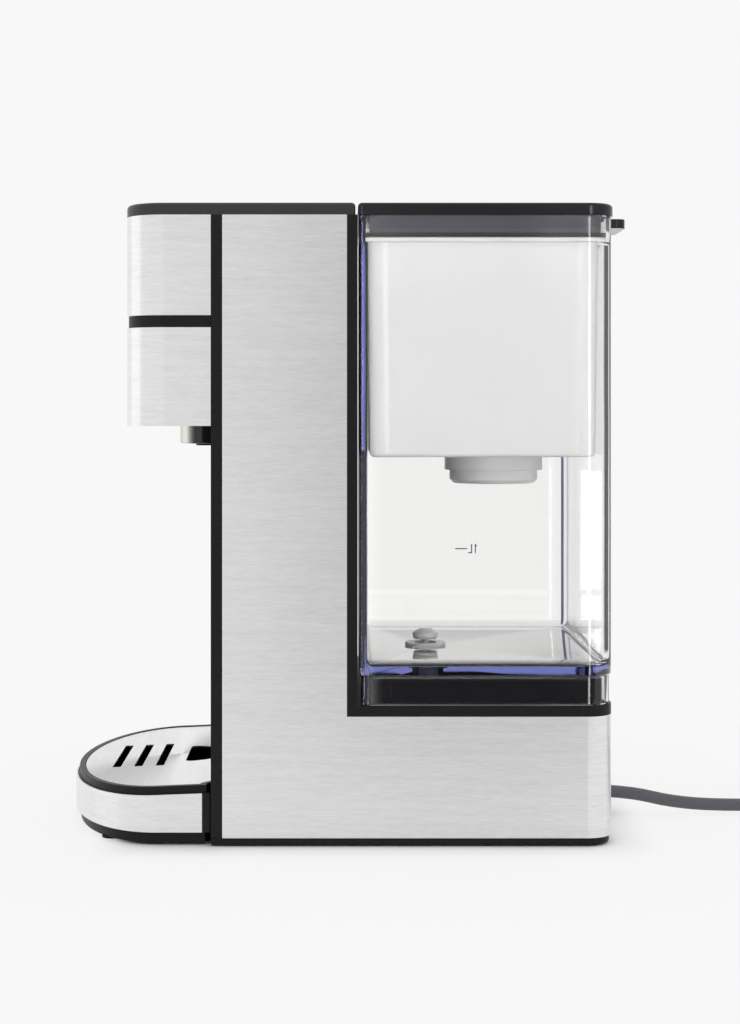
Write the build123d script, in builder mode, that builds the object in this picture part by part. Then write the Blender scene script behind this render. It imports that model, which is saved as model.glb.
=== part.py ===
from build123d import *
import math
import os

# Countertop water dispenser with a lift-off tank, in millimetres.
# The front faces -Y, the width runs along X and the table is at Z = 0.

# Overall sizes
body_width = 182.0
column_depth = 71.8
base_depth = 197.5
head_reach = 43.0
tray_reach = 77.0
tab_reach = 16.3

# Heights above the table
foot_height = 0.6
plinth_height = 3.8
base_top = 69.0
seat_height = 12.7
head_bottom = 206.0
column_top = 309.4
cover_height = 6.0

# Walls, sheets and general clearances
housing_wall = 3.2
moulded_wall = 2.5
skin = 0.8
soft_gap = 0.3
cover_gap = 1.0

# Corners
rear_radius = 13.0
head_radius = 20.0
edge_radius = 2.0

# Black strips that frame the steel skin
strip_width = 5.6
trim_width = 5.2

# Scoop in the front wall, behind the cup
scoop_margin = 7.0
scoop_depth = 34.0

# Head bands and nozzle
band_groove = 5.9
upper_band_height = 49.2
nozzle_radius = 12.5
nozzle_forward = 10.3
nozzle_drop = 10.3
tip_radius = 4.0
tip_bore = 2.2
tip_drop = 1.1

# Touch panel in the top cover
panel_width = 124.0
panel_depth = 58.0
panel_thickness = 1.6
panel_radius = 8.0
panel_inset = 10.0
board_thickness = 1.6
board_post = 3.0

# Tank, its skirt and its ledge
tank_gap = 1.0
tank_wall = 3.0
tank_rim_wall = 2.2
tank_floor = 3.9
tank_lift_gap = 1.9
tank_front_radius = 1.2
skirt_inset = 1.0
skirt_wall = 2.0
ledge_drop = 13.4
seat_inset = 4.5
rib_width = 1.4
rib_height = 8.0
rib_proud = 0.8
rib_front = 16.0
rib_pitch = 73.0

# Lid
lid_gap = 0.2
lid_overhang = 0.8
lid_plate = 2.5
lid_skirt_inset = 5.0
lid_skirt_depth = 10.6
gasket_height = 1.9
tab_width = 42.0
tab_thickness = 4.8

# Funnel, filter socket and cartridge
funnel_inset = 5.5
funnel_taper = 1.2
funnel_wall = 2.0
funnel_height = 105.5
funnel_rim = 2.5
cartridge_offset = 10.4
socket_radius = 26.15
socket_height = 8.9
cartridge_radius = 23.5
cartridge_tail = 15.9
cartridge_body_radius = 26.0
cartridge_height = 70.0

# Tank valve and coupling
dock_offset = 37.2
valve_flange_radius = 10.8
valve_flange = 1.5
valve_sleeve_radius = 8.0
valve_bore = 6.0
valve_sleeve_drop = 11.6
valve_opening = 2.0
stem_radius = 2.0
stem_rise = 2.3
collar_height = 1.5
hub_height = 3.0
spring_length = 4.2
cap_radius = 6.75
cap_height = 4.0
seal_thickness = 1.2
spring_wire = 0.7
coupler_radius = 13.0
coupler_flange_radius = 16.0
coupler_room = 1.0

# Drip tray
tray_margin = 2.0
tray_arc = 50.0
tray_clear = 0.5
tray_bottom = 1.2
tray_floor = 3.0
bottom_inset = 2.5
band_bottom = 6.7
band_drop = 3.8
band_end = 4.4
rim_rear = 29.9
rim_slope = 2.3
rim_inset = 1.8
rim_wall = 3.0
grille_ledge = 3.0
grille_drop = 0.3
grille_sheet = 1.2
slot_length = 61.6
slot_width = 4.35
slot_pitch = 11.24
first_slot = 53.3
slot_count = 3
drain_radius = 22.0
drain_front = 18.1
drain_corner = 3.0

# Water path inside
hose_radius = 5.0
hose_bore = 3.2
barb_radius = 3.1
barb_length = 7.0
meter_radius = 14.0
meter_height = 14.0
meter_drop = 19.0
motor_radius = 14.0
motor_length = 30.0
motor_gap = 1.0
pump_length = 16.0
rotor_radius = 10.0
rotor_gap = 1.0
shaft_radius = 1.5
running_gap = 0.1
heater_radius = 15.0
heater_length = 130.0
heater_bottom = 85.0

# Mains cord
cord_diameter = 6.6
cord_x = 15.0
cord_z = 12.2
relief_length = 20.0
relief_inside = 13.0
coil_radius = 42.0
coil_gap = 0.9
coil_layer_half_turns = 3
coil_behind = 140.0
tie_thickness = 0.8
tie_width = 9.0
plug_width = 30.0
plug_length = 38.0
pin_radius = 2.4
pin_length = 19.0
pin_pitch = 19.0

# Places that follow from the sizes
half = body_width / 2
front_y = tray_reach - (tray_reach + base_depth + tab_reach) / 2
back_y = front_y + base_depth
column_back = front_y + column_depth
head_front = front_y - head_reach
plinth_top = foot_height + plinth_height
inner_half = half - housing_wall
top_z = column_top + cover_height
seat_top = base_top + seat_height
scoop_half = half - scoop_margin
scoop_radius = (scoop_half**2 + scoop_depth**2) / (2 * scoop_depth)
scoop_y = front_y + scoop_depth - scoop_radius
lower_band_top = column_top - upper_band_height - band_groove
nozzle_y = front_y - nozzle_forward
nozzle_bottom = head_bottom - nozzle_drop

tank_front = column_back + tank_gap
tank_top = column_top - lid_gap
tank_bottom = seat_top + tank_lift_gap
tank_floor_top = tank_bottom + tank_floor
ledge_z = column_top - ledge_drop
tank_mid = (tank_front + back_y) / 2
dock_y = column_back + dock_offset

funnel_bottom = ledge_z - funnel_height
funnel_floor_top = funnel_bottom + funnel_wall
cartridge_y = tank_mid + cartridge_offset

sleeve_bottom = tank_bottom - valve_sleeve_drop
seat_z = tank_floor_top + valve_flange
seal_z = seat_z + valve_opening
cap_z = seal_z + seal_thickness
stem_bottom = sleeve_bottom + stem_rise
hub_z = stem_bottom + collar_height + spring_length

tray_half = half - tray_margin
tray_back = front_y - tray_clear
tray_arc_y = front_y - tray_reach + tray_arc
grille_inset = rim_inset + rim_wall
basin_inset = grille_inset + grille_ledge

heater_y = front_y + scoop_depth + moulded_wall + heater_radius
meter_top = base_top - meter_drop
meter_z = meter_top - meter_height / 2
motor_x = motor_gap + motor_length - inner_half
pump_x = motor_x + pump_length
pump_mid = motor_x + pump_length / 2

os.makedirs("parts", exist_ok=True)


def plan(z, half_width, y_front, y_back, r_front=0.0, r_back=0.0):
    """A plan outline, symmetric about X = 0, as a face at height z."""
    corners = [(-half_width, y_front), (half_width, y_front), (half_width, y_back), (-half_width, y_back)]
    with BuildSketch(Plane.XY.offset(z)) as outline:
        with BuildLine():
            FilletPolyline(*corners, radius=[r_front, r_front, r_back, r_back], close=True)
        make_face()
    return outline.sketch


def slab(z_low, z_high, half_width, y_front, y_back, r_front=0.0, r_back=0.0, mode=Mode.ADD):
    """Extrude a plan outline between two heights, in the sub-part being built."""
    extrude(plan(z_low, half_width, y_front, y_back, r_front, r_back), amount=z_high - z_low, mode=mode)


def rod(x, y, z_low, z_high, radius, mode=Mode.ADD):
    """An upright cylinder between two heights."""
    with BuildSketch(Plane.XY.offset(z_low)) as disc:
        with Locations((x, y)):
            Circle(radius)
    extrude(disc.sketch, amount=z_high - z_low, mode=mode)


def turned(x, y, profile, mode=Mode.ADD):
    """Turn a profile of (radius, height) points about an upright axis."""
    with BuildSketch(Plane((x, y, 0), x_dir=(1, 0, 0), z_dir=(0, -1, 0))) as half_section:
        with BuildLine():
            Polyline(*profile, close=True)
        make_face()
    revolve(half_section.sketch, axis=Axis((x, y, 0), (0, 0, 1)), mode=mode)


def crescent(z, radius, y_low):
    """The part of a circle about the scoop's axis that lies behind y_low."""
    reach = math.sqrt(radius**2 - (y_low - scoop_y) ** 2)
    with BuildSketch(Plane.XY.offset(z)) as shape:
        with BuildLine():
            ThreePointArc((-reach, y_low), (0, scoop_y + radius), (reach, y_low))
            Line((reach, y_low), (-reach, y_low))
        make_face()
    return shape.sketch


def tray_plan(z, inset):
    """The tray's plan: an elliptic front, straight sides and a rear that fits the scoop."""
    side = tray_half - inset
    rear = tray_back - inset
    with BuildSketch(Plane.XY.offset(z)) as shape:
        with Locations((0, tray_arc_y)):
            Ellipse(side, tray_arc - inset)
        with Locations((0, (tray_arc_y + rear) / 2)):
            Rectangle(2 * side, rear - tray_arc_y)
        add(crescent(0, scoop_radius - tray_clear - inset, rear))
    return shape.sketch


def rim_plane(drop):
    """The tray's sloping rim plane, lowered by a drop."""
    slope = math.radians(rim_slope)
    return Plane((0, front_y, rim_rear - drop), x_dir=(1, 0, 0), z_dir=(0, -math.sin(slope), math.cos(slope)))


# Steel skin: one sheet along both sides and round the rear of the base
with BuildPart() as steel_skin:
    slab(plinth_top, base_top - trim_width, half, front_y + strip_width, back_y, 0, rear_radius)
    slab(plinth_top, column_top, half, front_y + strip_width, column_back - trim_width)
    slab(plinth_top, base_top - trim_width, half - skin, front_y, back_y - skin, 0, rear_radius - skin,
         mode=Mode.SUBTRACT)
    slab(plinth_top, column_top, half - skin, front_y, column_back, mode=Mode.SUBTRACT)
    with BuildSketch(Plane.XZ.offset(-back_y - skin)):
        with Locations((cord_x, cord_z)):
            Circle(cord_diameter)
    extrude(amount=3 * skin, mode=Mode.SUBTRACT)

# Main housing: black L-shaped shell with a recess for the skin
boss_radius = 5.0
boss_top = 26.0
pilot_radius = 1.7
screw_inset = 16.0
screw_x = inner_half - boss_radius + running_gap
screw_places = [(side * screw_x, y)
                for side in (-1, 1) for y in (column_back - screw_inset, back_y - 2 * screw_inset)]
board_gap = 4.8
board_width = 50.0
board_x = inner_half - board_gap - board_width / 2
board_bottom = 100.0
board_height = 110.0
board_stand = 4.0
board_y = column_back - housing_wall - board_stand
stand_radius = 3.0
stand_inset = 6.0
stand_places = [(board_x + i * (board_width / 2 - stand_inset), board_bottom + z)
                for i in (-1, 1) for z in (stand_inset, board_height - stand_inset)]
with BuildPart() as main_housing:
    slab(plinth_top, base_top, half, front_y, back_y, 0, rear_radius)
    slab(plinth_top, column_top, half, front_y, column_back)
    slab(plinth_top, base_top - moulded_wall, inner_half, front_y, back_y - housing_wall, 0,
         rear_radius - housing_wall, mode=Mode.SUBTRACT)
    slab(plinth_top, column_top, inner_half, front_y, column_back - housing_wall, mode=Mode.SUBTRACT)
    add(steel_skin.part, mode=Mode.SUBTRACT)
    rod(0, dock_y, base_top - 2 * moulded_wall, base_top + moulded_wall, coupler_radius + coupler_room,
        mode=Mode.SUBTRACT)
    with BuildSketch(Plane.XZ.offset(-back_y - skin)):
        with Locations((cord_x, cord_z)):
            Circle(cord_diameter)
    extrude(amount=2 * housing_wall, mode=Mode.SUBTRACT)
    for x, y in screw_places:
        rod(x, y, plinth_top, boss_top, boss_radius)
    for x, y in screw_places:
        rod(x, y, plinth_top, boss_top - moulded_wall, pilot_radius, mode=Mode.SUBTRACT)
    with BuildSketch(Plane.XZ.offset(-column_back + housing_wall)):
        with Locations(*stand_places):
            Circle(stand_radius)
    extrude(amount=board_stand)

# Front wall with the scoop that the cup and the tray's rear go into
with BuildPart() as front_fascia:
    with BuildSketch(Plane.XY.offset(plinth_top)):
        add(crescent(0, scoop_radius + moulded_wall, front_y))
        with Locations((0, front_y + moulded_wall / 2)):
            Rectangle(2 * inner_half, moulded_wall)
        add(crescent(0, scoop_radius, front_y), mode=Mode.SUBTRACT)
    extrude(amount=head_bottom - plinth_top)

# Base plate with screw holes and the same scoop
plinth_inset = 1.0
head_screw_radius = 3.2
with BuildPart() as base_plate:
    slab(foot_height, plinth_top, half - plinth_inset, front_y, back_y - plinth_inset, 0,
         rear_radius - plinth_inset)
    fillet(base_plate.faces().sort_by(Axis.Z)[0].edges().sort_by(Axis.Y)[1:], edge_radius / 2)
    extrude(crescent(foot_height, scoop_radius, front_y), amount=plinth_height, mode=Mode.SUBTRACT)
    for x, y in screw_places:
        rod(x, y, foot_height, plinth_top, pilot_radius, mode=Mode.SUBTRACT)
        rod(x, y, foot_height, foot_height + plinth_height / 2, head_screw_radius + soft_gap,
            mode=Mode.SUBTRACT)

with BuildPart() as base_screws:
    for x, y in screw_places:
        rod(x, y, foot_height + soft_gap, foot_height + plinth_height / 2, head_screw_radius)
        rod(x, y, foot_height + plinth_height / 2, boss_top - 2 * moulded_wall, pilot_radius - running_gap)

foot_radius = 8.0
foot_front = 26.0
with BuildPart() as rubber_feet:
    for x, y in [(side * (half - screw_inset), y)
                 for side in (-1, 1) for y in (front_y + foot_front, back_y - screw_inset)]:
        rod(x, y, 0, foot_height, foot_radius)
    bottom_rims = rubber_feet.faces().group_by(Axis.Z)[0].edges()
    chamfer(bottom_rims, foot_height / 4)

# Head: moulded carrier with two steel bands round it
with BuildPart() as head_frame:
    slab(head_bottom, column_top, half - skin, head_front + skin, front_y, head_radius - skin, 0)
    slab(head_bottom, column_top, inner_half, head_front + housing_wall, front_y, head_radius - housing_wall,
         0, mode=Mode.SUBTRACT)


def head_band(z_low, z_high):
    """A U-shaped sheet round the head between two heights."""
    slab(z_low, z_high, half, head_front, front_y, head_radius, 0)
    slab(z_low, z_high, half - skin, head_front + skin, front_y, head_radius - skin, 0, mode=Mode.SUBTRACT)


with BuildPart() as head_upper_band:
    head_band(column_top - upper_band_height, column_top)

with BuildPart() as head_lower_band:
    head_band(head_bottom, lower_band_top)

with BuildPart() as head_underside:
    slab(head_bottom, head_bottom + moulded_wall, inner_half, head_front + housing_wall, front_y,
         head_radius - housing_wall, 0)
    extrude(crescent(head_bottom, scoop_radius + moulded_wall, front_y), amount=moulded_wall)
    rod(0, nozzle_y, head_bottom, head_bottom + moulded_wall, nozzle_radius + running_gap, mode=Mode.SUBTRACT)

# Nozzle: polished sleeve with a floor, and the outlet tip that stands in it
sleeve_wall = 1.0
sleeve_flange = 3.0
with BuildPart() as nozzle_sleeve:
    rod(0, nozzle_y, nozzle_bottom, head_bottom + moulded_wall, nozzle_radius)
    rod(0, nozzle_y, head_bottom + moulded_wall, head_bottom + moulded_wall + 2 * sleeve_wall,
        nozzle_radius + sleeve_flange)
    fillet(nozzle_sleeve.faces().sort_by(Axis.Z)[0].edges(), sleeve_wall)
    rod(0, nozzle_y, nozzle_bottom + sleeve_wall, head_bottom + moulded_wall + 2 * sleeve_wall,
        nozzle_radius - sleeve_wall, mode=Mode.SUBTRACT)
    rod(0, nozzle_y, nozzle_bottom, nozzle_bottom + sleeve_wall, tip_radius + running_gap, mode=Mode.SUBTRACT)

tip_collar = 2.0
tip_stem = 8.0
hot_hose_end = head_bottom + tip_stem
with BuildPart() as outlet_tip:
    rod(0, nozzle_y, nozzle_bottom - tip_drop, nozzle_bottom + sleeve_wall, tip_radius)
    rod(0, nozzle_y, nozzle_bottom + sleeve_wall, nozzle_bottom + sleeve_wall + tip_collar, 2 * tip_radius)
    rod(0, nozzle_y, nozzle_bottom + sleeve_wall + tip_collar, hot_hose_end, hose_radius)
    rod(0, nozzle_y, hot_hose_end, hot_hose_end + barb_length, barb_radius)
    rod(0, nozzle_y, nozzle_bottom - tip_drop, hot_hose_end + barb_length, tip_bore, mode=Mode.SUBTRACT)

# Top cover with the flush touch panel and its board
cover_back = column_back - cover_gap
panel_y = head_front + panel_inset + panel_depth / 2
post_places = [(i * (panel_width / 2 - panel_radius), panel_y + j * (panel_depth / 2 - panel_radius))
               for i in (-1, 1) for j in (-1, 1)]
cover_roof = top_z - 2 * moulded_wall
with BuildPart() as top_cover:
    slab(column_top, top_z, half, head_front, cover_back, head_radius, edge_radius)
    fillet(top_cover.faces().sort_by(Axis.Z)[-1].edges(), edge_radius)
    slab(column_top, cover_roof, inner_half, head_front + housing_wall, cover_back - housing_wall,
         head_radius - housing_wall, 0, mode=Mode.SUBTRACT)
    with BuildSketch(Plane.XY.offset(top_z - panel_thickness)):
        with Locations((0, panel_y)):
            RectangleRounded(panel_width, panel_depth, panel_radius)
    extrude(amount=panel_thickness, mode=Mode.SUBTRACT)
    for x, y in post_places:
        rod(x, y, cover_roof - board_post, cover_roof, stand_radius)

with BuildPart() as control_panel:
    with BuildSketch(Plane.XY.offset(top_z - panel_thickness)):
        with Locations((0, panel_y)):
            RectangleRounded(panel_width - 2 * running_gap, panel_depth - 2 * running_gap,
                             panel_radius - running_gap)
    extrude(amount=panel_thickness)

with BuildPart() as touch_board:
    with BuildSketch(Plane.XY.offset(cover_roof - board_post - board_thickness)):
        with Locations((0, panel_y)):
            RectangleRounded(panel_width, panel_depth, panel_radius)
    extrude(amount=board_thickness)

# Platform that the tank stands on, with small guide ribs on its sides
with BuildPart() as tank_seat:
    slab(base_top, seat_top, half - seat_inset, tank_front + seat_inset, back_y - seat_inset,
         edge_radius, rear_radius - seat_inset)
    fillet(tank_seat.faces().sort_by(Axis.Z)[-1].edges(), edge_radius / 2)
    seat_inner = seat_inset + moulded_wall
    slab(base_top, seat_top - moulded_wall, half - seat_inner, tank_front + seat_inner, back_y - seat_inner,
         0, rear_radius - seat_inner, mode=Mode.SUBTRACT)
    rod(0, dock_y, seat_top - moulded_wall, seat_top, coupler_radius, mode=Mode.SUBTRACT)
    with BuildSketch(Plane.XY.offset(seat_top - rib_height - edge_radius)):
        with Locations(*[(side * (half - seat_inset), tank_front + rib_front + i * rib_pitch)
                         for side in (-1, 1) for i in (0, 1)]):
            Rectangle(2 * rib_proud, rib_width)
    extrude(amount=rib_height)

# Coupling under the tank's valve: a cup with a push pin on a bridge
cup_radius = valve_sleeve_radius + coupler_room
cup_floor = sleeve_bottom - 2 * coupler_room
cup_thickness = 3.0
cup_bottom = cup_floor - cup_thickness
ring_rise = 4.0
ring_z = sleeve_bottom + ring_rise
ring_height = 2.0
ring_depth = 1.2
with BuildPart() as dock_coupler:
    rod(0, dock_y, cup_bottom, seat_top, coupler_radius)
    rod(0, dock_y, seat_top - 2 * moulded_wall, seat_top - moulded_wall, coupler_flange_radius)
    rod(0, dock_y, cup_bottom - barb_length, cup_bottom, barb_radius)
    rod(0, dock_y, cup_floor, seat_top, cup_radius, mode=Mode.SUBTRACT)
    rod(0, dock_y, cup_bottom - barb_length, cup_floor, tip_bore, mode=Mode.SUBTRACT)
    rod(0, dock_y, ring_z, ring_z + ring_height, cup_radius + ring_depth, mode=Mode.SUBTRACT)
    with BuildSketch(Plane.XY.offset(cup_floor)):
        with Locations((0, dock_y)):
            Rectangle(2 * cup_radius, stem_radius)
    extrude(amount=stem_radius / 2)
    rod(0, dock_y, cup_floor, stem_bottom - running_gap, stem_radius)

with BuildPart() as dock_seal:
    rod(0, dock_y, ring_z, ring_z + ring_height, cup_radius + ring_depth)
    rod(0, dock_y, ring_z, ring_z + ring_height, valve_sleeve_radius + soft_gap, mode=Mode.SUBTRACT)

# Clear tank with a skirt below, a ledge for the funnel and a small lug under the lid's tab
skirt_bottom = base_top + lid_gap
lug_width = 30.0
lug_height = 8.0
with BuildPart() as tank:
    slab(tank_bottom, tank_top, half, tank_front, back_y, tank_front_radius, rear_radius)
    slab(tank_floor_top, ledge_z, half - tank_wall, tank_front + tank_wall, back_y - tank_wall,
         tank_front_radius, rear_radius - tank_wall, mode=Mode.SUBTRACT)
    slab(ledge_z, tank_top, half - tank_rim_wall, tank_front + tank_rim_wall, back_y - tank_rim_wall,
         tank_front_radius, rear_radius - tank_rim_wall, mode=Mode.SUBTRACT)
    slab(skirt_bottom, tank_bottom, half - skirt_inset, tank_front + skirt_inset, back_y - skirt_inset,
         tank_front_radius, rear_radius - skirt_inset)
    slab(skirt_bottom, tank_bottom, half - skirt_inset - skirt_wall, tank_front + skirt_inset + skirt_wall,
         back_y - skirt_inset - skirt_wall, 0, rear_radius - skirt_inset - skirt_wall, mode=Mode.SUBTRACT)
    rod(0, dock_y, tank_bottom, tank_floor_top, valve_sleeve_radius + running_gap, mode=Mode.SUBTRACT)
    with BuildSketch(Plane.YZ.offset(-lug_width / 2)):
        with BuildLine():
            Polyline((back_y - running_gap, tank_top), (back_y + lug_height, tank_top),
                     (back_y - running_gap, tank_top - lug_height), close=True)
        make_face()
    extrude(amount=lug_width)

# Tank valve: flanged body with a three-armed guide, sprung plunger and its seal
hub_radius = 3.2
arm_width = 1.6
with BuildPart() as tank_valve_body:
    rod(0, dock_y, sleeve_bottom, tank_floor_top, valve_sleeve_radius)
    rod(0, dock_y, tank_floor_top, seat_z, valve_flange_radius)
    rod(0, dock_y, sleeve_bottom, seat_z, valve_bore, mode=Mode.SUBTRACT)
    with BuildSketch(Plane.XY.offset(hub_z)):
        with Locations((0, dock_y)):
            Circle(hub_radius)
            with PolarLocations(0, 3):
                with Locations((valve_bore / 2, 0)):
                    Rectangle(valve_bore + running_gap, arm_width)
            Circle(stem_radius + running_gap, mode=Mode.SUBTRACT)
    extrude(amount=hub_height)

collar_radius = 4.0
with BuildPart() as valve_plunger:
    turned(0, dock_y, [
        (0, stem_bottom), (collar_radius, stem_bottom), (collar_radius, stem_bottom + collar_height),
        (stem_radius, stem_bottom + collar_height), (stem_radius, cap_z), (cap_radius, cap_z),
        (cap_radius, cap_z + cap_height / 2), (cap_radius / 2, cap_z + cap_height), (0, cap_z + cap_height)])

with BuildPart() as valve_seal:
    rod(0, dock_y, seal_z, cap_z, (valve_bore + cap_radius) / 2)
    rod(0, dock_y, seal_z, cap_z, stem_radius + running_gap, mode=Mode.SUBTRACT)


def half_turn(start, start_way, end, end_way):
    """Two tangent arcs that turn from one direction to another, drawn in the line being built."""
    span = end - start
    ways = start_way + end_way
    weight = 2 * (1 - start_way.dot(end_way))
    lean = span.dot(ways)
    reach = (math.sqrt(lean**2 + weight * span.dot(span)) - lean) / weight
    middle = (start + end + (start_way - end_way) * reach) * 0.5
    TangentArc(start, middle, tangent=start_way)
    TangentArc(end, middle, tangent=end_way * -1)


spring_radius = 3.1
spring_low = stem_bottom + collar_height + spring_wire / 2
spring_high = hub_z - spring_wire / 2
spring_half_turns = 6
with BuildPart() as valve_spring:
    rise = (spring_high - spring_low) / spring_half_turns
    pitch_angle = math.atan2(rise, math.pi * spring_radius)
    with BuildLine() as spring_line:
        for step in range(spring_half_turns):
            side = 1 if step % 2 == 0 else -1
            low = Vector(side * spring_radius, dock_y, spring_low + step * rise)
            high = Vector(-side * spring_radius, dock_y, spring_low + (step + 1) * rise)
            way_in = Vector(0, side * math.cos(pitch_angle), math.sin(pitch_angle))
            way_out = Vector(0, -side * math.cos(pitch_angle), math.sin(pitch_angle))
            half_turn(low, way_in, high, way_out)
    with BuildSketch(Plane((spring_radius, dock_y, spring_low), x_dir=(1, 0, 0),
                           z_dir=(0, math.cos(pitch_angle), math.sin(pitch_angle)))):
        Circle(spring_wire / 2)
    sweep(path=spring_line.line)

# Lid with a skirt inside the tank, a gasket and the rear tab
gasket_z = column_top - lid_skirt_depth
lid_inner = lid_skirt_inset + moulded_wall
with BuildPart() as lid:
    slab(column_top, top_z, half, column_back + lid_gap, back_y + lid_overhang, edge_radius, rear_radius)
    fillet(lid.faces().sort_by(Axis.Z)[-1].edges(), edge_radius)
    slab(gasket_z, column_top, half - lid_skirt_inset, tank_front + lid_skirt_inset, back_y - lid_skirt_inset,
         tank_front_radius, rear_radius - lid_skirt_inset)
    slab(gasket_z, top_z - lid_plate, half - lid_inner, tank_front + lid_inner, back_y - lid_inner,
         edge_radius, rear_radius - lid_inner, mode=Mode.SUBTRACT)
    slab(column_top, column_top + tab_thickness, tab_width / 2, back_y - moulded_wall, back_y + tab_reach,
         0, tab_thickness)

with BuildPart() as lid_gasket:
    gasket_inset = tank_rim_wall + soft_gap
    slab(gasket_z, gasket_z + gasket_height, half - gasket_inset, tank_front + gasket_inset,
         back_y - gasket_inset, tank_front_radius, rear_radius - gasket_inset)
    slab(gasket_z, gasket_z + gasket_height, half - lid_skirt_inset, tank_front + lid_skirt_inset,
         back_y - lid_skirt_inset, tank_front_radius, rear_radius - lid_skirt_inset, mode=Mode.SUBTRACT)

# Funnel insert: a tapered box that hangs on the tank's ledge
funnel_radius = rear_radius - funnel_taper
funnel_top = ledge_z + funnel_rim
with BuildPart() as funnel:
    for extra, mode in ((0, Mode.ADD), (funnel_wall, Mode.SUBTRACT)):
        low_inset = funnel_inset + funnel_taper + extra
        high_inset = funnel_inset + extra
        low_z = funnel_bottom + extra
        low_plan = plan(low_z, half - low_inset, tank_front + low_inset, back_y - low_inset,
                        funnel_radius - extra, funnel_radius - extra)
        high_plan = plan(funnel_top, half - high_inset, tank_front + high_inset, back_y - high_inset,
                         funnel_radius - extra, funnel_radius - extra)
        loft([low_plan, high_plan], ruled=True, mode=mode)
    outer_rim = tank_rim_wall + soft_gap
    inner_rim = funnel_inset + funnel_wall
    slab(ledge_z + running_gap, funnel_top, half - outer_rim, tank_front + outer_rim, back_y - outer_rim,
         tank_front_radius, rear_radius - outer_rim)
    slab(ledge_z + running_gap, funnel_top, half - inner_rim, tank_front + inner_rim, back_y - inner_rim,
         funnel_radius - funnel_wall, funnel_radius - funnel_wall, mode=Mode.SUBTRACT)
    rod(0, cartridge_y, funnel_bottom, funnel_floor_top, cartridge_radius + soft_gap, mode=Mode.SUBTRACT)
    fillet(funnel.faces().sort_by(Axis.Z)[0].outer_wire().edges(), funnel_wall)

with BuildPart() as filter_socket:
    rod(0, cartridge_y, funnel_bottom - socket_height, funnel_bottom, socket_radius)
    rod(0, cartridge_y, funnel_bottom - socket_height, funnel_bottom, cartridge_radius + soft_gap,
        mode=Mode.SUBTRACT)

# Filter cartridge: tail through the socket, flange on the funnel's floor, slotted body and a grip
tail_z = funnel_bottom - cartridge_tail
flange_z = funnel_floor_top + running_gap
flange_height = 3.0
cartridge_top = flange_z + cartridge_height
grip_radius = 7.0
window_count = 8
window_width = 6.0
window_height = 22.0
window_depth = 2.0
with BuildPart() as filter_cartridge:
    turned(0, cartridge_y, [
        (0, tail_z), (cartridge_radius - edge_radius, tail_z), (cartridge_radius, tail_z + edge_radius),
        (cartridge_radius, flange_z), (cartridge_body_radius + flange_height, flange_z),
        (cartridge_body_radius + flange_height, flange_z + flange_height),
        (cartridge_body_radius, flange_z + flange_height),
        (cartridge_body_radius, cartridge_top - grip_radius),
        (cartridge_body_radius - grip_radius, cartridge_top), (0, cartridge_top)])
    with BuildSketch(Plane.XY.offset(cartridge_top - grip_radius - window_height - edge_radius)):
        with Locations((0, cartridge_y)):
            with PolarLocations(cartridge_body_radius, window_count):
                Rectangle(2 * window_depth, window_width)
    extrude(amount=window_height, mode=Mode.SUBTRACT)
    rod(0, cartridge_y, cartridge_top, cartridge_top + grip_radius, grip_radius)

# Drip tray: steel band, tray with a sloping rim, and the grille that lies in it
overshoot = 6.0
tray_tall = rim_rear + overshoot - band_bottom
with BuildPart() as tray_band:
    extrude(tray_plan(band_bottom, 0), amount=tray_tall)
    extrude(tray_plan(band_bottom, skin), amount=tray_tall, mode=Mode.SUBTRACT)
    split(bisect_by=rim_plane(band_drop), keep=Keep.BOTTOM)
    slab(band_bottom, band_bottom + tray_tall, half, front_y - band_end, column_back, mode=Mode.SUBTRACT)

with BuildPart() as grille_recess:
    extrude(tray_plan(band_bottom, grille_inset), amount=tray_tall)
    split(bisect_by=rim_plane(grille_drop + grille_sheet + running_gap), keep=Keep.TOP)

with BuildPart() as drip_tray:
    extrude(tray_plan(tray_bottom, bottom_inset), amount=band_bottom - tray_bottom)
    extrude(tray_plan(band_bottom, 0), amount=tray_tall)
    split(bisect_by=rim_plane(band_drop), keep=Keep.BOTTOM)
    add(tray_band.part, mode=Mode.SUBTRACT)
    extrude(tray_plan(band_bottom, rim_inset), amount=tray_tall)
    split(bisect_by=rim_plane(0), keep=Keep.BOTTOM)
    add(grille_recess.part, mode=Mode.SUBTRACT)
    extrude(tray_plan(tray_bottom + tray_floor, basin_inset), amount=tray_tall, mode=Mode.SUBTRACT)

with BuildPart() as tray_grille:
    extrude(tray_plan(band_bottom, grille_inset + soft_gap), amount=tray_tall)
    split(bisect_by=rim_plane(grille_drop), keep=Keep.BOTTOM)
    split(bisect_by=rim_plane(grille_drop + grille_sheet), keep=Keep.TOP)
    with BuildSketch(Plane.XY.offset(band_bottom)):
        for i in range(slot_count):
            with Locations((0, front_y - first_slot + i * slot_pitch)):
                RectangleRounded(slot_length, slot_width, slot_width / 4)
    extrude(amount=tray_tall, mode=Mode.SUBTRACT)
    with BuildSketch(Plane.XY.offset(band_bottom)) as drain:
        with BuildLine():
            drain_y = front_y - drain_front
            ThreePointArc((-drain_radius, drain_y), (0, drain_y + drain_radius), (drain_radius, drain_y))
            Line((drain_radius, drain_y), (-drain_radius, drain_y))
        make_face()
        fillet(drain.vertices(), drain_corner)
    extrude(amount=tray_tall, mode=Mode.SUBTRACT)

tray_foot_radius = 5.0
tray_foot_back = 51.0
tray_foot_side = 68.0
with BuildPart() as tray_feet:
    for side in (-1, 1):
        rod(side * tray_foot_side, front_y - tray_foot_back, 0, tray_bottom, tray_foot_radius)


def post(start, end, radius, mode=Mode.ADD):
    """A cylinder from one point to another."""
    way = Vector(*end) - Vector(*start)
    with BuildSketch(Plane(start, z_dir=way)) as disc:
        Circle(radius)
    extrude(disc.sketch, amount=way.length, mode=mode)


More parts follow.
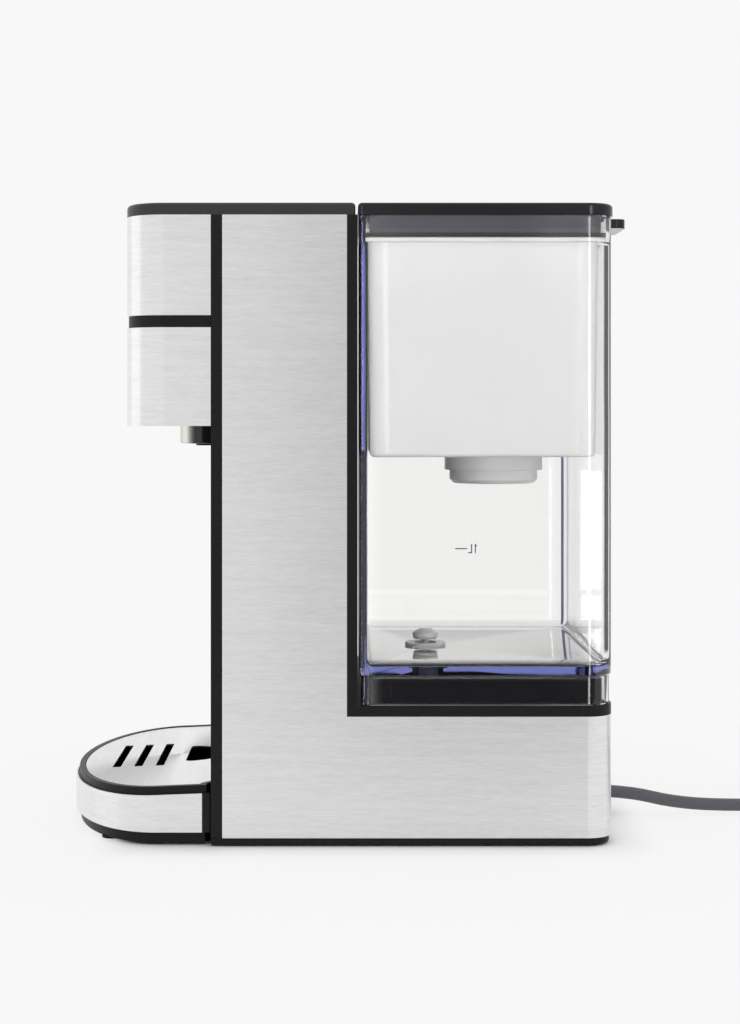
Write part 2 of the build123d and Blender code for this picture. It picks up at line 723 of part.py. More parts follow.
# Flow meter under the coupling, with its turbine on a pin
meter_bottom = meter_top - meter_height
meter_wall = 3.0
turbine_hub = 3.0
turbine_blades = 6
meter_pin = 1.0
blade_gap = 2.0
meter_side = (-meter_radius + meter_wall, dock_y, meter_z)
meter_outlet = (-meter_radius - barb_length, dock_y, meter_z)
with BuildPart() as flow_meter:
    rod(0, dock_y, plinth_top, meter_bottom, hose_radius)
    rod(0, dock_y, meter_bottom, meter_top, meter_radius)
    rod(0, dock_y, meter_top, meter_top + barb_length, barb_radius)
    post(meter_side, meter_outlet, barb_radius)
    rod(0, dock_y, meter_bottom + meter_wall, meter_top - meter_wall, meter_radius - meter_wall,
        mode=Mode.SUBTRACT)
    rod(0, dock_y, meter_top - meter_wall, meter_top + barb_length, tip_bore, mode=Mode.SUBTRACT)
    post(meter_side, meter_outlet, tip_bore, mode=Mode.SUBTRACT)
    rod(0, dock_y, meter_bottom + meter_wall, meter_top - 2 * meter_wall, meter_pin)

with BuildPart() as flow_turbine:
    with BuildSketch(Plane.XY.offset(meter_bottom + meter_wall + soft_gap)):
        with Locations((0, dock_y)):
            Circle(turbine_hub)
            blade_length = meter_radius - meter_wall - blade_gap
            with PolarLocations(0, turbine_blades):
                with Locations((blade_length / 2, 0)):
                    Rectangle(blade_length, meter_pin)
            Circle(meter_pin + running_gap, mode=Mode.SUBTRACT)
    extrude(amount=meter_height - 2 * meter_wall - 2 * soft_gap)

# Pump: head with a rotor chamber, motor and cradle
chamber_length = 9.0
outlet_y = dock_y - motor_radius
motor_face = (motor_x, dock_y, meter_z)
pump_inlet = (pump_x + barb_length, dock_y, meter_z)
pump_outlet = (pump_mid, outlet_y - barb_length, meter_z)
with BuildPart() as pump_body:
    post(motor_face, (pump_x, dock_y, meter_z), motor_radius)
    post((pump_x, dock_y, meter_z), pump_inlet, barb_radius)
    post((pump_mid, dock_y, meter_z), (pump_mid, outlet_y, meter_z), hose_radius)
    post((pump_mid, outlet_y, meter_z), pump_outlet, barb_radius)
    post(motor_face, (motor_x + chamber_length, dock_y, meter_z), rotor_radius + rotor_gap,
         mode=Mode.SUBTRACT)
    post(motor_face, pump_inlet, tip_bore, mode=Mode.SUBTRACT)
    post((pump_mid, dock_y - rotor_radius, meter_z), pump_outlet, tip_bore, mode=Mode.SUBTRACT)

shaft_depth = 8.0
with BuildPart() as pump_motor:
    post((motor_x - motor_length, dock_y, meter_z), motor_face, motor_radius)
    post((motor_x - shaft_depth, dock_y, meter_z), motor_face, shaft_radius + running_gap, mode=Mode.SUBTRACT)

with BuildPart() as pump_rotor:
    rotor_start = motor_x + rotor_gap
    post((rotor_start - shaft_depth, dock_y, meter_z), (rotor_start, dock_y, meter_z), shaft_radius)
    with BuildSketch(Plane.YZ.offset(rotor_start)):
        with Locations((dock_y, meter_z)):
            Circle(turbine_hub)
            with PolarLocations(0, turbine_blades):
                with Locations((rotor_radius / 2, 0)):
                    Rectangle(rotor_radius, meter_pin)
    extrude(amount=chamber_length - 2 * rotor_gap)

cradle_inset = 4.0
with BuildPart() as pump_cradle:
    with BuildSketch(Plane.YZ.offset(motor_x - motor_length + cradle_inset)):
        with Locations((dock_y, (plinth_top + meter_z - cradle_inset) / 2)):
            Rectangle(2 * motor_radius + cradle_inset, meter_z - cradle_inset - plinth_top)
        with Locations((dock_y, meter_z)):
            Circle(motor_radius + running_gap, mode=Mode.SUBTRACT)
    extrude(amount=motor_length - 2 * cradle_inset)

# Heater in the column, its brackets and the cut-outs on its pads
heater_top = heater_bottom + heater_length
pad_reach = 2.0
cutout_radius = 6.0
cutout_height = 4.0
cutout_rises = (58.5, 91.0)
cutout_places = [heater_bottom + rise for rise in cutout_rises]
with BuildPart() as heater:
    rod(pump_mid, heater_y, heater_bottom, heater_top, heater_radius)
    rod(pump_mid, heater_y, heater_bottom - barb_length, heater_top + barb_length, barb_radius)
    rod(pump_mid, heater_y, heater_bottom - barb_length, heater_top + barb_length, tip_bore,
        mode=Mode.SUBTRACT)
    for z in cutout_places:
        post((pump_mid + 2 * barb_radius, heater_y, z), (pump_mid + heater_radius + pad_reach, heater_y, z),
             cutout_radius)

with BuildPart() as thermal_cutouts:
    for z in cutout_places:
        pad_x = pump_mid + heater_radius + pad_reach
        post((pad_x, heater_y, z), (pad_x + cutout_height, heater_y, z), cutout_radius)

bracket_height = 8.0
bracket_inset = 20.0
bracket_width = 12.0
wall_y = column_back - housing_wall
with BuildPart() as heater_brackets:
    for z in (heater_bottom + bracket_inset, heater_top - bracket_inset - bracket_height):
        with BuildSketch(Plane.XY.offset(z)):
            with Locations((pump_mid, heater_y)):
                Circle(heater_radius + meter_pin)
            with Locations((pump_mid, (heater_y + wall_y) / 2)):
                Rectangle(bracket_width, wall_y - heater_y)
            with Locations((pump_mid, heater_y)):
                Circle(heater_radius, mode=Mode.SUBTRACT)
        extrude(amount=bracket_height)


def hose(points, bend):
    """A hose along straight runs joined by arcs, in the sub-part being built."""
    with BuildLine() as route:
        FilletPolyline(*points, radius=bend)
    with BuildSketch(Plane(points[0], z_dir=Vector(*points[1]) - Vector(*points[0]))) as ring:
        Circle(hose_radius)
        Circle(hose_bore, mode=Mode.SUBTRACT)
    sweep(ring.sketch, path=route.line)


hose_bend = 16.0
hose_rise = 36.0
hose_high = heater_top + hose_rise
with BuildPart() as inlet_hose:
    rod(0, dock_y, meter_top, cup_bottom, hose_radius)
    rod(0, dock_y, meter_top, cup_bottom, hose_bore, mode=Mode.SUBTRACT)

with BuildPart() as suction_hose:
    post((pump_x, dock_y, meter_z), (-meter_radius, dock_y, meter_z), hose_radius)
    post((pump_x, dock_y, meter_z), (-meter_radius, dock_y, meter_z), hose_bore, mode=Mode.SUBTRACT)

with BuildPart() as feed_hose:
    hose([(pump_mid, outlet_y, meter_z), (pump_mid, heater_y, meter_z), (pump_mid, heater_y, heater_bottom)],
         hose_bend)

with BuildPart() as hot_hose:
    hose([(pump_mid, heater_y, heater_top), (pump_mid, heater_y, hose_high), (0, nozzle_y, hose_high),
          (0, nozzle_y, hot_hose_end)], hose_bend)

# Power board on its stand-offs, with its larger components
part_depth = 14.0
transformer_size = 25.0
transformer_rise = 27.5
relay_width = 16.5
relay_rise = 60.5
capacitor_radius = 6.25
capacitor_rise = 88.0
with BuildPart() as power_board:
    with BuildSketch(Plane.XZ.offset(-board_y)):
        with Locations((board_x, board_bottom + board_height / 2)):
            Rectangle(board_width, board_height)
    extrude(amount=board_thickness)
    with BuildSketch(Plane.XZ.offset(-board_y + board_thickness)):
        with Locations((board_x, board_bottom + transformer_rise)):
            Rectangle(transformer_size, transformer_size)
        with Locations((board_x, board_bottom + relay_rise)):
            Rectangle(relay_width, transformer_size)
        with Locations((board_x, board_bottom + capacitor_rise)):
            Circle(capacitor_radius)
    extrude(amount=part_depth)

# Strain relief in the rear wall
cord_radius = cord_diameter / 2
relief_bore = cord_radius + running_gap
relief_start = back_y - relief_inside
relief_end = relief_start + relief_length
relief_flange = 1.2
relief_wall = 1.0
flange_y = back_y - housing_wall
relief_neck = cord_diameter - running_gap
relief_rim = relief_neck + relief_flange
with BuildPart() as strain_relief:
    with BuildSketch(Plane((cord_x, 0, cord_z), x_dir=(0, 1, 0), z_dir=(1, 0, 0))):
        with BuildLine():
            Polyline((relief_start, relief_bore), (relief_start, relief_neck),
                     (flange_y - relief_flange, relief_neck), (flange_y - relief_flange, relief_rim),
                     (flange_y, relief_rim), (flange_y, relief_neck), (back_y + relief_wall, relief_neck),
                     (relief_end, relief_bore + relief_wall), (relief_end, relief_bore), close=True)
        make_face()
    revolve(axis=Axis((cord_x, 0, cord_z), (0, 1, 0)))

# Cord: down to the table, then a put-away coil with its tie and plug
coil_step = cord_diameter + coil_gap
coil_x = cord_x - coil_radius
coil_y = back_y + coil_behind
coil_z = tie_thickness + running_gap + cord_radius
coil_start = Vector(cord_x, coil_y - cord_diameter, coil_z)
cord_route = [
    Vector(cord_x, back_y - 8, cord_z),
    Vector(cord_x, back_y + 16, cord_z),
    Vector(cord_x + 1.6, back_y + 46, 5.2),
    Vector(cord_x, back_y + 90, coil_z),
    coil_start,
]


def corner_radii(points):
    """Arc radius for each corner of a route: as large as its two runs allow."""
    used_share = 0.45
    radii = []
    for before, corner, after in zip(points, points[1:], points[2:]):
        turn = math.radians((corner - before).get_angle(after - corner))
        shorter = min((corner - before).length, (after - corner).length)
        radii.append(used_share * shorter / math.tan(turn / 2))
    return radii


cord_radii = corner_radii(cord_route)
with BuildPart() as cord_lead:
    with BuildLine() as cord_line:
        FilletPolyline(*cord_route, radius=cord_radii)
    with BuildSketch(Plane(cord_route[0], z_dir=(0, 1, 0))):
        Circle(cord_radius)
    sweep(path=cord_line.line)

# Half-turn ends of the coil: spiral in, climb one layer inside the turns, spiral out over the gaps
layer_shift = 0.45
inner_reach = coil_radius - coil_layer_half_turns * coil_step / 2
reaches_in = [coil_radius - step * coil_step / 2 for step in range(coil_layer_half_turns + 1)]
climb_reach = inner_reach - coil_step
reaches_out = [inner_reach + (layer_shift + step / 2) * coil_step
               for step in range(coil_layer_half_turns + 1)]
coil_ends = []
for step, reach in enumerate(reaches_in + [climb_reach] + reaches_out):
    climbed = step > coil_layer_half_turns
    side = 1 if step % 2 == 0 else -1
    coil_ends.append(Vector(coil_x + side * reach, coil_y, coil_z + climbed * coil_step))
tail_length = 34.0
tail_end = coil_ends[-1] + Vector(0, tail_length, 0)
with BuildPart() as cord_coil:
    with BuildLine() as coil_line:
        Line(coil_start, coil_ends[0])
        for step, (low, high) in enumerate(zip(coil_ends, coil_ends[1:])):
            way = Vector(0, 1 if step % 2 == 0 else -1, 0)
            half_turn(low, way, high, way * -1)
        Line(coil_ends[-1], tail_end)
    with BuildSketch(Plane(coil_start, z_dir=(0, 1, 0))):
        Circle(cord_radius)
    sweep(path=coil_line.line)

# Tie round the turns on the coil's far side
tie_room = 0.7
tie_low_x = coil_x - reaches_out[-2] - cord_radius - tie_room
tie_high_x = coil_x - inner_reach + cord_radius + tie_room
tie_top = coil_z + coil_step + cord_radius + running_gap
with BuildPart() as cord_tie:
    with BuildSketch(Plane.XZ.offset(-coil_y - tie_width / 2)):
        with Locations(((tie_low_x + tie_high_x) / 2, (tie_top + tie_thickness) / 2)):
            tie_span = tie_high_x - tie_low_x
            RectangleRounded(tie_span + 2 * tie_thickness, tie_top + tie_thickness, 2 * tie_thickness)
            Rectangle(tie_span, tie_top - tie_thickness, mode=Mode.SUBTRACT)
    extrude(amount=tie_width)

# Plug with its pins, in line with the end of the cord
neck_length = 12.0
neck_wall = 1.0
plug_radius = 7.8
plug_height = 2 * tail_end.Z
plug_start = tail_end.Y + neck_length
with BuildPart() as plug_body:
    with BuildSketch(Plane.XZ.offset(-plug_start - plug_length)):
        with Locations((tail_end.X, tail_end.Z)):
            RectangleRounded(plug_width, plug_height, plug_radius)
    extrude(amount=plug_length)
    fillet(plug_body.faces().sort_by(Axis.Y)[0].edges(), edge_radius)
    with BuildSketch(Plane.XZ.offset(-plug_start)) as neck_wide:
        with Locations((tail_end.X, tail_end.Z)):
            Circle(cord_diameter)
    with BuildSketch(Plane.XZ.offset(-tail_end.Y)) as neck_slim:
        with Locations((tail_end.X, tail_end.Z)):
            Circle(cord_radius + neck_wall)
    loft([neck_wide.sketch, neck_slim.sketch])

with BuildPart() as plug_pins:
    for side in (-1, 1):
        pin_x = tail_end.X + side * pin_pitch / 2
        pin_y = plug_start + plug_length
        post((pin_x, pin_y, tail_end.Z), (pin_x, pin_y + pin_length, tail_end.Z), pin_radius)
    chamfer(plug_pins.faces().group_by(Axis.Y)[-1].edges(), pin_radius / 3)


def least_gap(line, skip):
    """Least distance between points of a winding that lie further apart along it than skip."""
    count = 400
    points = [line @ (i / count) for i in range(count + 1)]
    step = line.length / count
    far = int(skip / step) + 1
    return min((a - b).length for i, a in enumerate(points) for b in points[i + far:])


cord_section = math.pi * cord_radius**2
lead_length = cord_line.wire().length
coil_length = coil_line.wire().length
coil_least = least_gap(coil_line.wire(), coil_radius * math.pi / 2) - cord_diameter
spring_least = least_gap(spring_line.wire(), spring_radius * math.pi) - spring_wire
print("cord radii", [round(r, 1) for r in cord_radii])
print("lead volume over section times length", cord_lead.part.volume / (cord_section * lead_length))
print("coil volume over section times length", cord_coil.part.volume / (cord_section * coil_length))
print("coil least gap", round(coil_least, 2), "spring least gap", round(spring_least, 2))
print("cord length", round(lead_length + coil_length, 1))

pieces = {
    "main_housing": main_housing, "steel_skin": steel_skin, "front_fascia": front_fascia,
    "base_plate": base_plate, "base_screws": base_screws, "rubber_feet": rubber_feet,
    "head_frame": head_frame, "head_upper_band": head_upper_band, "head_lower_band": head_lower_band,
    "head_underside": head_underside, "nozzle_sleeve": nozzle_sleeve, "outlet_tip": outlet_tip,
    "top_cover": top_cover, "control_panel": control_panel, "touch_board": touch_board,
    "tank_seat": tank_seat, "dock_coupler": dock_coupler, "dock_seal": dock_seal,
    "tank": tank, "tank_valve_body": tank_valve_body, "valve_plunger": valve_plunger,
    "valve_seal": valve_seal, "valve_spring": valve_spring, "lid": lid, "lid_gasket": lid_gasket,
    "funnel": funnel, "filter_socket": filter_socket, "filter_cartridge": filter_cartridge,
    "drip_tray": drip_tray, "tray_band": tray_band, "tray_grille": tray_grille, "tray_feet": tray_feet,
    "flow_meter": flow_meter, "flow_turbine": flow_turbine, "pump_body": pump_body,
    "pump_motor": pump_motor, "pump_rotor": pump_rotor, "pump_cradle": pump_cradle,
    "heater": heater, "thermal_cutouts": thermal_cutouts, "heater_brackets": heater_brackets,
    "inlet_hose": inlet_hose, "suction_hose": suction_hose, "feed_hose": feed_hose, "hot_hose": hot_hose,
    "power_board": power_board, "strain_relief": strain_relief, "cord_lead": cord_lead,
    "cord_coil": cord_coil, "cord_tie": cord_tie, "plug_body": plug_body, "plug_pins": plug_pins,
}
for name, piece in pieces.items():
    piece.part.label = name
    export_step(piece.part, f"parts/{name}.step")
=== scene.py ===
# %% [markdown]
# A countertop water dispenser, seen from its side: a brushed steel body, a drip tray in front and a
# clear tank behind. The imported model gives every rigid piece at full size. This lesson adds the
# camera, the light, the finish of each surface, the cord, and the pieces whose look needs a finer
# mesh than the construction has, such as the clear tank.

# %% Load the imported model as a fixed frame
import math
import bpy
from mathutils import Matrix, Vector


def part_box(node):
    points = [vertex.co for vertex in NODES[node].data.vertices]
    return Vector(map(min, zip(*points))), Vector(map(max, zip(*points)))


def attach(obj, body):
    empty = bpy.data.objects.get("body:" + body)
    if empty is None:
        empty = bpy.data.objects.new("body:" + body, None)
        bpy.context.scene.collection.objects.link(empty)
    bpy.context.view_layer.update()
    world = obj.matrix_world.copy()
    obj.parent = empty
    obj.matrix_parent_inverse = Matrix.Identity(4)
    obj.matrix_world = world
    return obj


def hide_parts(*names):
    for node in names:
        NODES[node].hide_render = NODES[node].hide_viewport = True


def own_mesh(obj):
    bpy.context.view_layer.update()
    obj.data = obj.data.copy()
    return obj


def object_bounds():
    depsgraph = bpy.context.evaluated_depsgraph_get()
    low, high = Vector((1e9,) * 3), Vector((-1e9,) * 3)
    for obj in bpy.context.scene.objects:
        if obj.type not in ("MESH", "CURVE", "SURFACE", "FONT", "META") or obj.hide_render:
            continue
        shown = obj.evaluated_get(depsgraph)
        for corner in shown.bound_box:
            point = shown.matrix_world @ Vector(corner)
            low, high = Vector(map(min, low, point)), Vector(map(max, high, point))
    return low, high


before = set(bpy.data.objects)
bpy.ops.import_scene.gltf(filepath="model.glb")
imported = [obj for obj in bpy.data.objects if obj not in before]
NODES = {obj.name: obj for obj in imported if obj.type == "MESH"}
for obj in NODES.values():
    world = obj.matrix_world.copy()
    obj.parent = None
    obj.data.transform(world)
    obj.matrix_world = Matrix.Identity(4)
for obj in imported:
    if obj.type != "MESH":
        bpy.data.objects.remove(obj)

CAD_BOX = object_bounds()
print("frame:", len(NODES), "nodes", [round(v, 4) for corner in CAD_BOX for v in corner])

# %% [markdown]
# The picture is taken square to the side with the lens level, and the framing is shifted instead of
# tilted, so upright edges stay upright. The shift and the lens come from the picture's vanishing
# point and from the width of the body, both measured in its 740 by 1024 pixels.

# %% Camera at the photograph's viewing angle
PICTURE_WIDTH, PICTURE_HEIGHT = 740, 1024
VANISHING_X, VANISHING_Y = 341.0, 405.5
FOCAL_PIXELS = 1851.0
EYE_DISTANCE = 0.905
EYE_HEIGHT = 0.216
EYE_BEHIND_FRONT = 0.0637
SENSOR = 36.0

body_low, body_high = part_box("main_housing")
camera_data = bpy.data.cameras.new("side_camera")
camera_data.sensor_width = SENSOR
camera_data.lens = FOCAL_PIXELS * SENSOR / PICTURE_HEIGHT
camera_data.shift_x = (PICTURE_WIDTH / 2 - VANISHING_X) / PICTURE_HEIGHT
camera_data.shift_y = (VANISHING_Y - PICTURE_HEIGHT / 2) / PICTURE_HEIGHT
camera_data.clip_start = 0.01
camera = bpy.data.objects.new("side_camera", camera_data)
camera.location = (body_high.x + EYE_DISTANCE, body_low.y + EYE_BEHIND_FRONT, EYE_HEIGHT)
camera.rotation_euler = (math.radians(90), 0, math.radians(90))
bpy.context.scene.collection.objects.link(camera)
bpy.context.scene.camera = camera
bpy.context.scene.view_settings.view_transform = "Standard"
print("camera: lens", round(camera_data.lens, 2), "at", [round(v, 3) for v in camera.location])

# %% [markdown]
# Node trees are easier to read as sums than as links. A Wire is one output socket that can be added,
# multiplied or subtracted, and each sum adds a Math node. A Finish is one material: its node method
# makes any other node, sets its settings first and then fills its sockets with values or Wires.


# %% Shader helpers
class Wire:
    """An output socket that can be used in sums."""

    def __init__(self, finish, socket):
        self.finish = finish
        self.socket = socket

    def join(self, operation, first, second):
        return self.finish.node("ShaderNodeMath", {"operation": operation}, {0: first, 1: second})

    def __add__(self, other):
        return self.join("ADD", self, other)

    def __radd__(self, other):
        return self.join("ADD", other, self)

    def __sub__(self, other):
        return self.join("SUBTRACT", self, other)

    def __rsub__(self, other):
        return self.join("SUBTRACT", other, self)

    def __mul__(self, other):
        return self.join("MULTIPLY", self, other)

    def __rmul__(self, other):
        return self.join("MULTIPLY", other, self)

    def limit(self):
        """The value held between 0 and 1."""
        return self.finish.node("ShaderNodeClamp", {}, {"Value": self})


class Finish:
    """A material with one Principled shader and a method that makes any other node."""

    def __init__(self, name, tree=None, **sockets):
        if tree is None:
            self.material = bpy.data.materials.new(name)
            self.material.use_nodes = True
            tree = self.material.node_tree
        self.tree = tree
        tree.nodes.clear()
        if sockets:
            self.shader = self.node("ShaderNodeBsdfPrincipled", {}, sockets)
            self.output = self.node("ShaderNodeOutputMaterial", {}, {"Surface": self.shader}, out=None)

    def node(self, kind, settings, sockets, out=0):
        made = self.tree.nodes.new(kind)
        for key, value in settings.items():
            setattr(made, key, value)
        for key, value in sockets.items():
            self.plug(made, key, value)
        return made if out is None else Wire(self, made.outputs[out])

    def plug(self, made, key, value):
        socket = made.inputs[key]
        if isinstance(value, Wire):
            self.tree.links.new(value.socket, socket)
        else:
            socket.default_value = value

    def feed(self, **sockets):
        """Fill sockets of the shader; an underscore stands for a space in a socket's name."""
        for key, value in sockets.items():
            self.plug(self.shader.socket.node, key.replace("_", " "), value)

    def place(self, scale):
        """The surface's place in the object, scaled along each axis."""
        spot = self.node("ShaderNodeTexCoord", {}, {}, out="Object")
        return self.node("ShaderNodeMapping", {}, {"Vector": spot, "Scale": scale})

    def along(self, axis):
        """The surface's place along one axis of the object."""
        return self.node("ShaderNodeSeparateXYZ", {}, {"Vector": self.place((1, 1, 1))}, out=axis)

    def noise(self, scale, detail=2.0, roughness=0.5):
        """Noise whose scale along each axis is its count of spots per metre."""
        return self.node("ShaderNodeTexNoise", {}, {"Vector": self.place(scale), "Scale": 1.0,
                                                    "Detail": detail, "Roughness": roughness})

    def shades(self, factor, dark, light):
        """A colour between two colours."""
        return self.node("ShaderNodeMix", {"data_type": "RGBA"},
                         {"Factor": factor, 6: (*dark, 1), 7: (*light, 1)}, out=2)

    def soft_edges(self, radius, height, strength, distance):
        """Round the look of sharp edges, with a bump on top."""
        rounded = self.node("ShaderNodeBevel", {"samples": 4}, {"Radius": radius})
        self.feed(Normal=self.node("ShaderNodeBump", {}, {"Strength": strength, "Distance": distance,
                                                          "Height": height, "Normal": rounded}))


def linear(*shade):
    """Linear colour of an 8-bit display colour; one number is a grey."""
    shade = shade * 3 if len(shade) == 1 else shade
    values = [s / 255 for s in shade]
    return tuple(v / 12.92 if v <= 0.04045 else ((v + 0.055) / 1.055) ** 2.4 for v in values)


def dress(finish, *names):
    """Give a finish to CAD nodes."""
    for name in names:
        mesh = NODES[name].data
        mesh.materials.clear()
        mesh.materials.append(finish.material)


print("helpers ready")

# %% [markdown]
# The photograph is a high-key studio picture: a white room with no horizon, and a dark gap where the
# camera stands. Flat black plastic mirrors that gap, so it stays black. A low dark shelf beside the gap
# and a fainter post break up what the other faces mirror. Behind the object the white wall is narrow:
# what clear plastic bends sideways is dark, which draws the lines in the corners of the tank. All of
# these are bands of direction, and only mirrored or bent rays see them. The camera sees plain white, and
# light that was scattered inside the tank is stronger, to make up for what the tank's walls take from
# the white funnel.

# %% White room
WHITE = linear(248)
GAP_SHADE, FILL, TANK_FILL, CLEAR_WHITE = 0.06, 1.0, 1.2, 1.05
GAP_AHEAD, GAP_ACROSS, GAP_UP = (0.90, 0.94), (-0.045, -0.015, 0.17, 0.20), (-0.27, -0.22, 0.05, 0.085)
SHELF_AHEAD, SHELF_ACROSS, SHELF_UP = (0.3, 0.5), (0.14, 0.17, 0.6, 0.7), (-0.18, -0.165, -0.115, -0.10)
POST_AHEAD, POST_ACROSS, POST_SHARE = (0.4, 0.6), (-0.02, 0.085, 0.094, 0.118), 0.5
SIDES_ACROSS, SIDES_UP = (0.09, 0.36), (0.025, 0.045)

world = bpy.data.worlds.new("studio")
bpy.context.scene.world = world
world.use_nodes = True
room = Finish("studio", tree=world.node_tree)


def band(value, start, end):
    """Zero up to the start, one from the end on, with a smooth step between."""
    return room.node("ShaderNodeMapRange", {"interpolation_type": "SMOOTHSTEP"},
                     {"Value": value, "From Min": start, "From Max": end})


def between(value, start, full, fade, end):
    """One from full to fade, zero outside start and end."""
    return band(value, start, full) * (1 - band(value, fade, end))


path = room.node("ShaderNodeLightPath", {}, {}, out=None)
through = Wire(room, path.outputs["Is Transmission Ray"])
mirrored = Wire(room, path.outputs["Glossy Depth"]).limit()
scattered = Wire(room, path.outputs["Diffuse Depth"]).limit()
heading = room.node("ShaderNodeTexCoord", {}, {}, out="Generated")
along, across, up = [room.node("ShaderNodeSeparateXYZ", {}, {"Vector": heading}, out=axis)
                     for axis in "XYZ"]
gap = band(along, *GAP_AHEAD) * between(across, *GAP_ACROSS) * between(up, *GAP_UP)
shelf = band(along, *SHELF_AHEAD) * between(across, *SHELF_ACROSS) * between(up, *SHELF_UP)
post = band(along, *POST_AHEAD) * between(across, *POST_ACROSS)
sides = band(across * across, *SIDES_ACROSS) * (1 - band(up * up, *SIDES_UP))
dark = (gap + shelf + POST_SHARE * post).limit() * mirrored
dark = dark + (1 - dark) * sides * through
plain = WHITE[0] + (FILL - WHITE[0]) * scattered + (TANK_FILL - FILL) * scattered * through
plain = plain + (CLEAR_WHITE - WHITE[0]) * through * (1 - mirrored) * (1 - scattered)
level = plain - (WHITE[0] - GAP_SHADE) * dark * (1 - scattered)
walls = room.node("ShaderNodeBackground", {}, {"Color": (1, 1, 1, 1), "Strength": level})
room.node("ShaderNodeOutputWorld", {}, {"Surface": walls}, out=None)
print("room: white", round(WHITE[0], 3))

# %% [markdown]
# The floor is paint under the object and close around it, where the picture has its contact shadow.
# Further out it turns into plain glow of the room's white; a little paint is left in it at first, so that
# a faint shadow stays, and none at the table's edges, so that no horizon shows. How near a spot is comes
# from its distance to the object's footprint: the part of its place that lies outside the footprint's
# half sides. The footprint leaves out the tray's round tip. The table ends close in front of the object,
# so that the dark gap behind its edge keeps the black plastic black.

# %% Floor with a contact shadow
TABLE_LOW, TABLE_HIGH = (-0.42, -0.38), (0.42, 0.45)
SHADOW_REACH, SHADOW_LEFT, SHADOW_END = 0.028, 0.14, 0.22
TRAY_ROUND = 0.04
foot_low, foot_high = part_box("base_plate")
tray_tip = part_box("drip_tray")[0].y + TRAY_ROUND
foot_middle = ((foot_low.x + foot_high.x) / 2, (tray_tip + foot_high.y) / 2, 0)
foot_half = ((foot_high.x - foot_low.x) / 2, (foot_high.y - tray_tip) / 2, 1)

floor_mesh = bpy.data.meshes.new("floor")
floor_corners = [(*TABLE_LOW, 0), (TABLE_HIGH[0], TABLE_LOW[1], 0),
                 (*TABLE_HIGH, 0), (TABLE_LOW[0], TABLE_HIGH[1], 0)]
floor_mesh.from_pydata(floor_corners, [], [(0, 1, 2, 3)])
floor = bpy.data.objects.new("floor", floor_mesh)
floor.location.z = CAD_BOX[0].z
bpy.context.scene.collection.objects.link(floor)

sweep = Finish("sweep")
spot = sweep.node("ShaderNodeTexCoord", {}, {}, out="Object")
spot = sweep.node("ShaderNodeVectorMath", {"operation": "SUBTRACT"}, {0: spot, 1: foot_middle})
spot = sweep.node("ShaderNodeVectorMath", {"operation": "ABSOLUTE"}, {0: spot})
spot = sweep.node("ShaderNodeVectorMath", {"operation": "SUBTRACT"}, {0: spot, 1: foot_half})
spot = sweep.node("ShaderNodeVectorMath", {"operation": "MAXIMUM"}, {0: spot, 1: (0, 0, 0)})
reach = sweep.node("ShaderNodeVectorMath", {"operation": "LENGTH"}, {0: spot}, out="Value")
near = sweep.node("ShaderNodeMapRange", {"interpolation_type": "SMOOTHSTEP"},
                  {"Value": reach, "From Max": SHADOW_REACH, "To Min": 1.0, "To Max": SHADOW_LEFT})
far = sweep.node("ShaderNodeMapRange", {},
                 {"Value": reach, "From Min": SHADOW_REACH, "From Max": SHADOW_END})
path = sweep.node("ShaderNodeLightPath", {}, {}, out=None)
camera_ray, glossy_ray, through = [Wire(sweep, path.outputs["Is " + kind + " Ray"])
                                   for kind in ("Camera", "Glossy", "Transmission")]
paint = sweep.node("ShaderNodeBsdfDiffuse", {}, {"Color": (*[white / FILL for white in WHITE], 1)})
glow = sweep.node("ShaderNodeEmission", {}, {"Color": (*WHITE, 1)})
glowing = (camera_ray + glossy_ray + through).limit() * (1 - near * (1 - far))
both = sweep.node("ShaderNodeMixShader", {}, {0: glowing, 1: paint, 2: glow})
sweep.node("ShaderNodeOutputMaterial", {}, {"Surface": both}, out=None)
floor_mesh.materials.append(sweep.material)
print("floor: footprint", [round(2 * half, 3) for half in foot_half[:2]])

# %% [markdown]
# One broad soft box stands to the left, level with the object, and gives the bright band on the rounded
# corner of the steel head. Two narrow strips in front draw the bright lines on the corners of the funnel;
# they are linked to the glossy plastics alone, because on brushed steel the picture shows no such lines,
# and they only give highlights.
# A lamp adds to the white room behind it, so each radiance is what is wanted on top of that white.

# %% Soft boxes
TARGET = Vector((0, 0.02, 0.16))
LAMP_RISE, LAMP_DISTANCE = math.radians(4), 1.3


def soft_box(name, turn, width, height, radiance, takers=None):
    """An area lamp aimed at the object; turn is its angle to the right of the camera's side."""
    turn = math.radians(turn)
    way = Vector((math.cos(turn) * math.cos(LAMP_RISE), math.sin(turn) * math.cos(LAMP_RISE),
                  math.sin(LAMP_RISE)))
    lamp = bpy.data.lights.new(name, "AREA")
    lamp.shape = "RECTANGLE"
    lamp.size = width
    lamp.size_y = height
    lamp.energy = radiance * math.pi * width * height
    placed = bpy.data.objects.new(name, lamp)
    placed.location = TARGET + way * LAMP_DISTANCE
    placed.rotation_euler = way.to_track_quat("Z", "Y").to_euler()
    placed.visible_camera = False
    placed.visible_diffuse = takers is None
    placed.light_linking.receiver_collection = takers
    bpy.context.scene.collection.objects.link(placed)


glossy_takers = bpy.data.collections.new("glossy_takers")
glossy_takers.objects.link(NODES["lid"])
soft_box("left_box", turn=-97, width=0.95, height=1.5, radiance=0.24)
soft_box("left_strip", turn=-9, width=0.10, height=1.3, radiance=14.0, takers=glossy_takers)
soft_box("right_strip", turn=20, width=0.12, height=1.3, radiance=6.0, takers=glossy_takers)
print("soft boxes:", sum(light.type == "AREA" for light in bpy.data.lights))

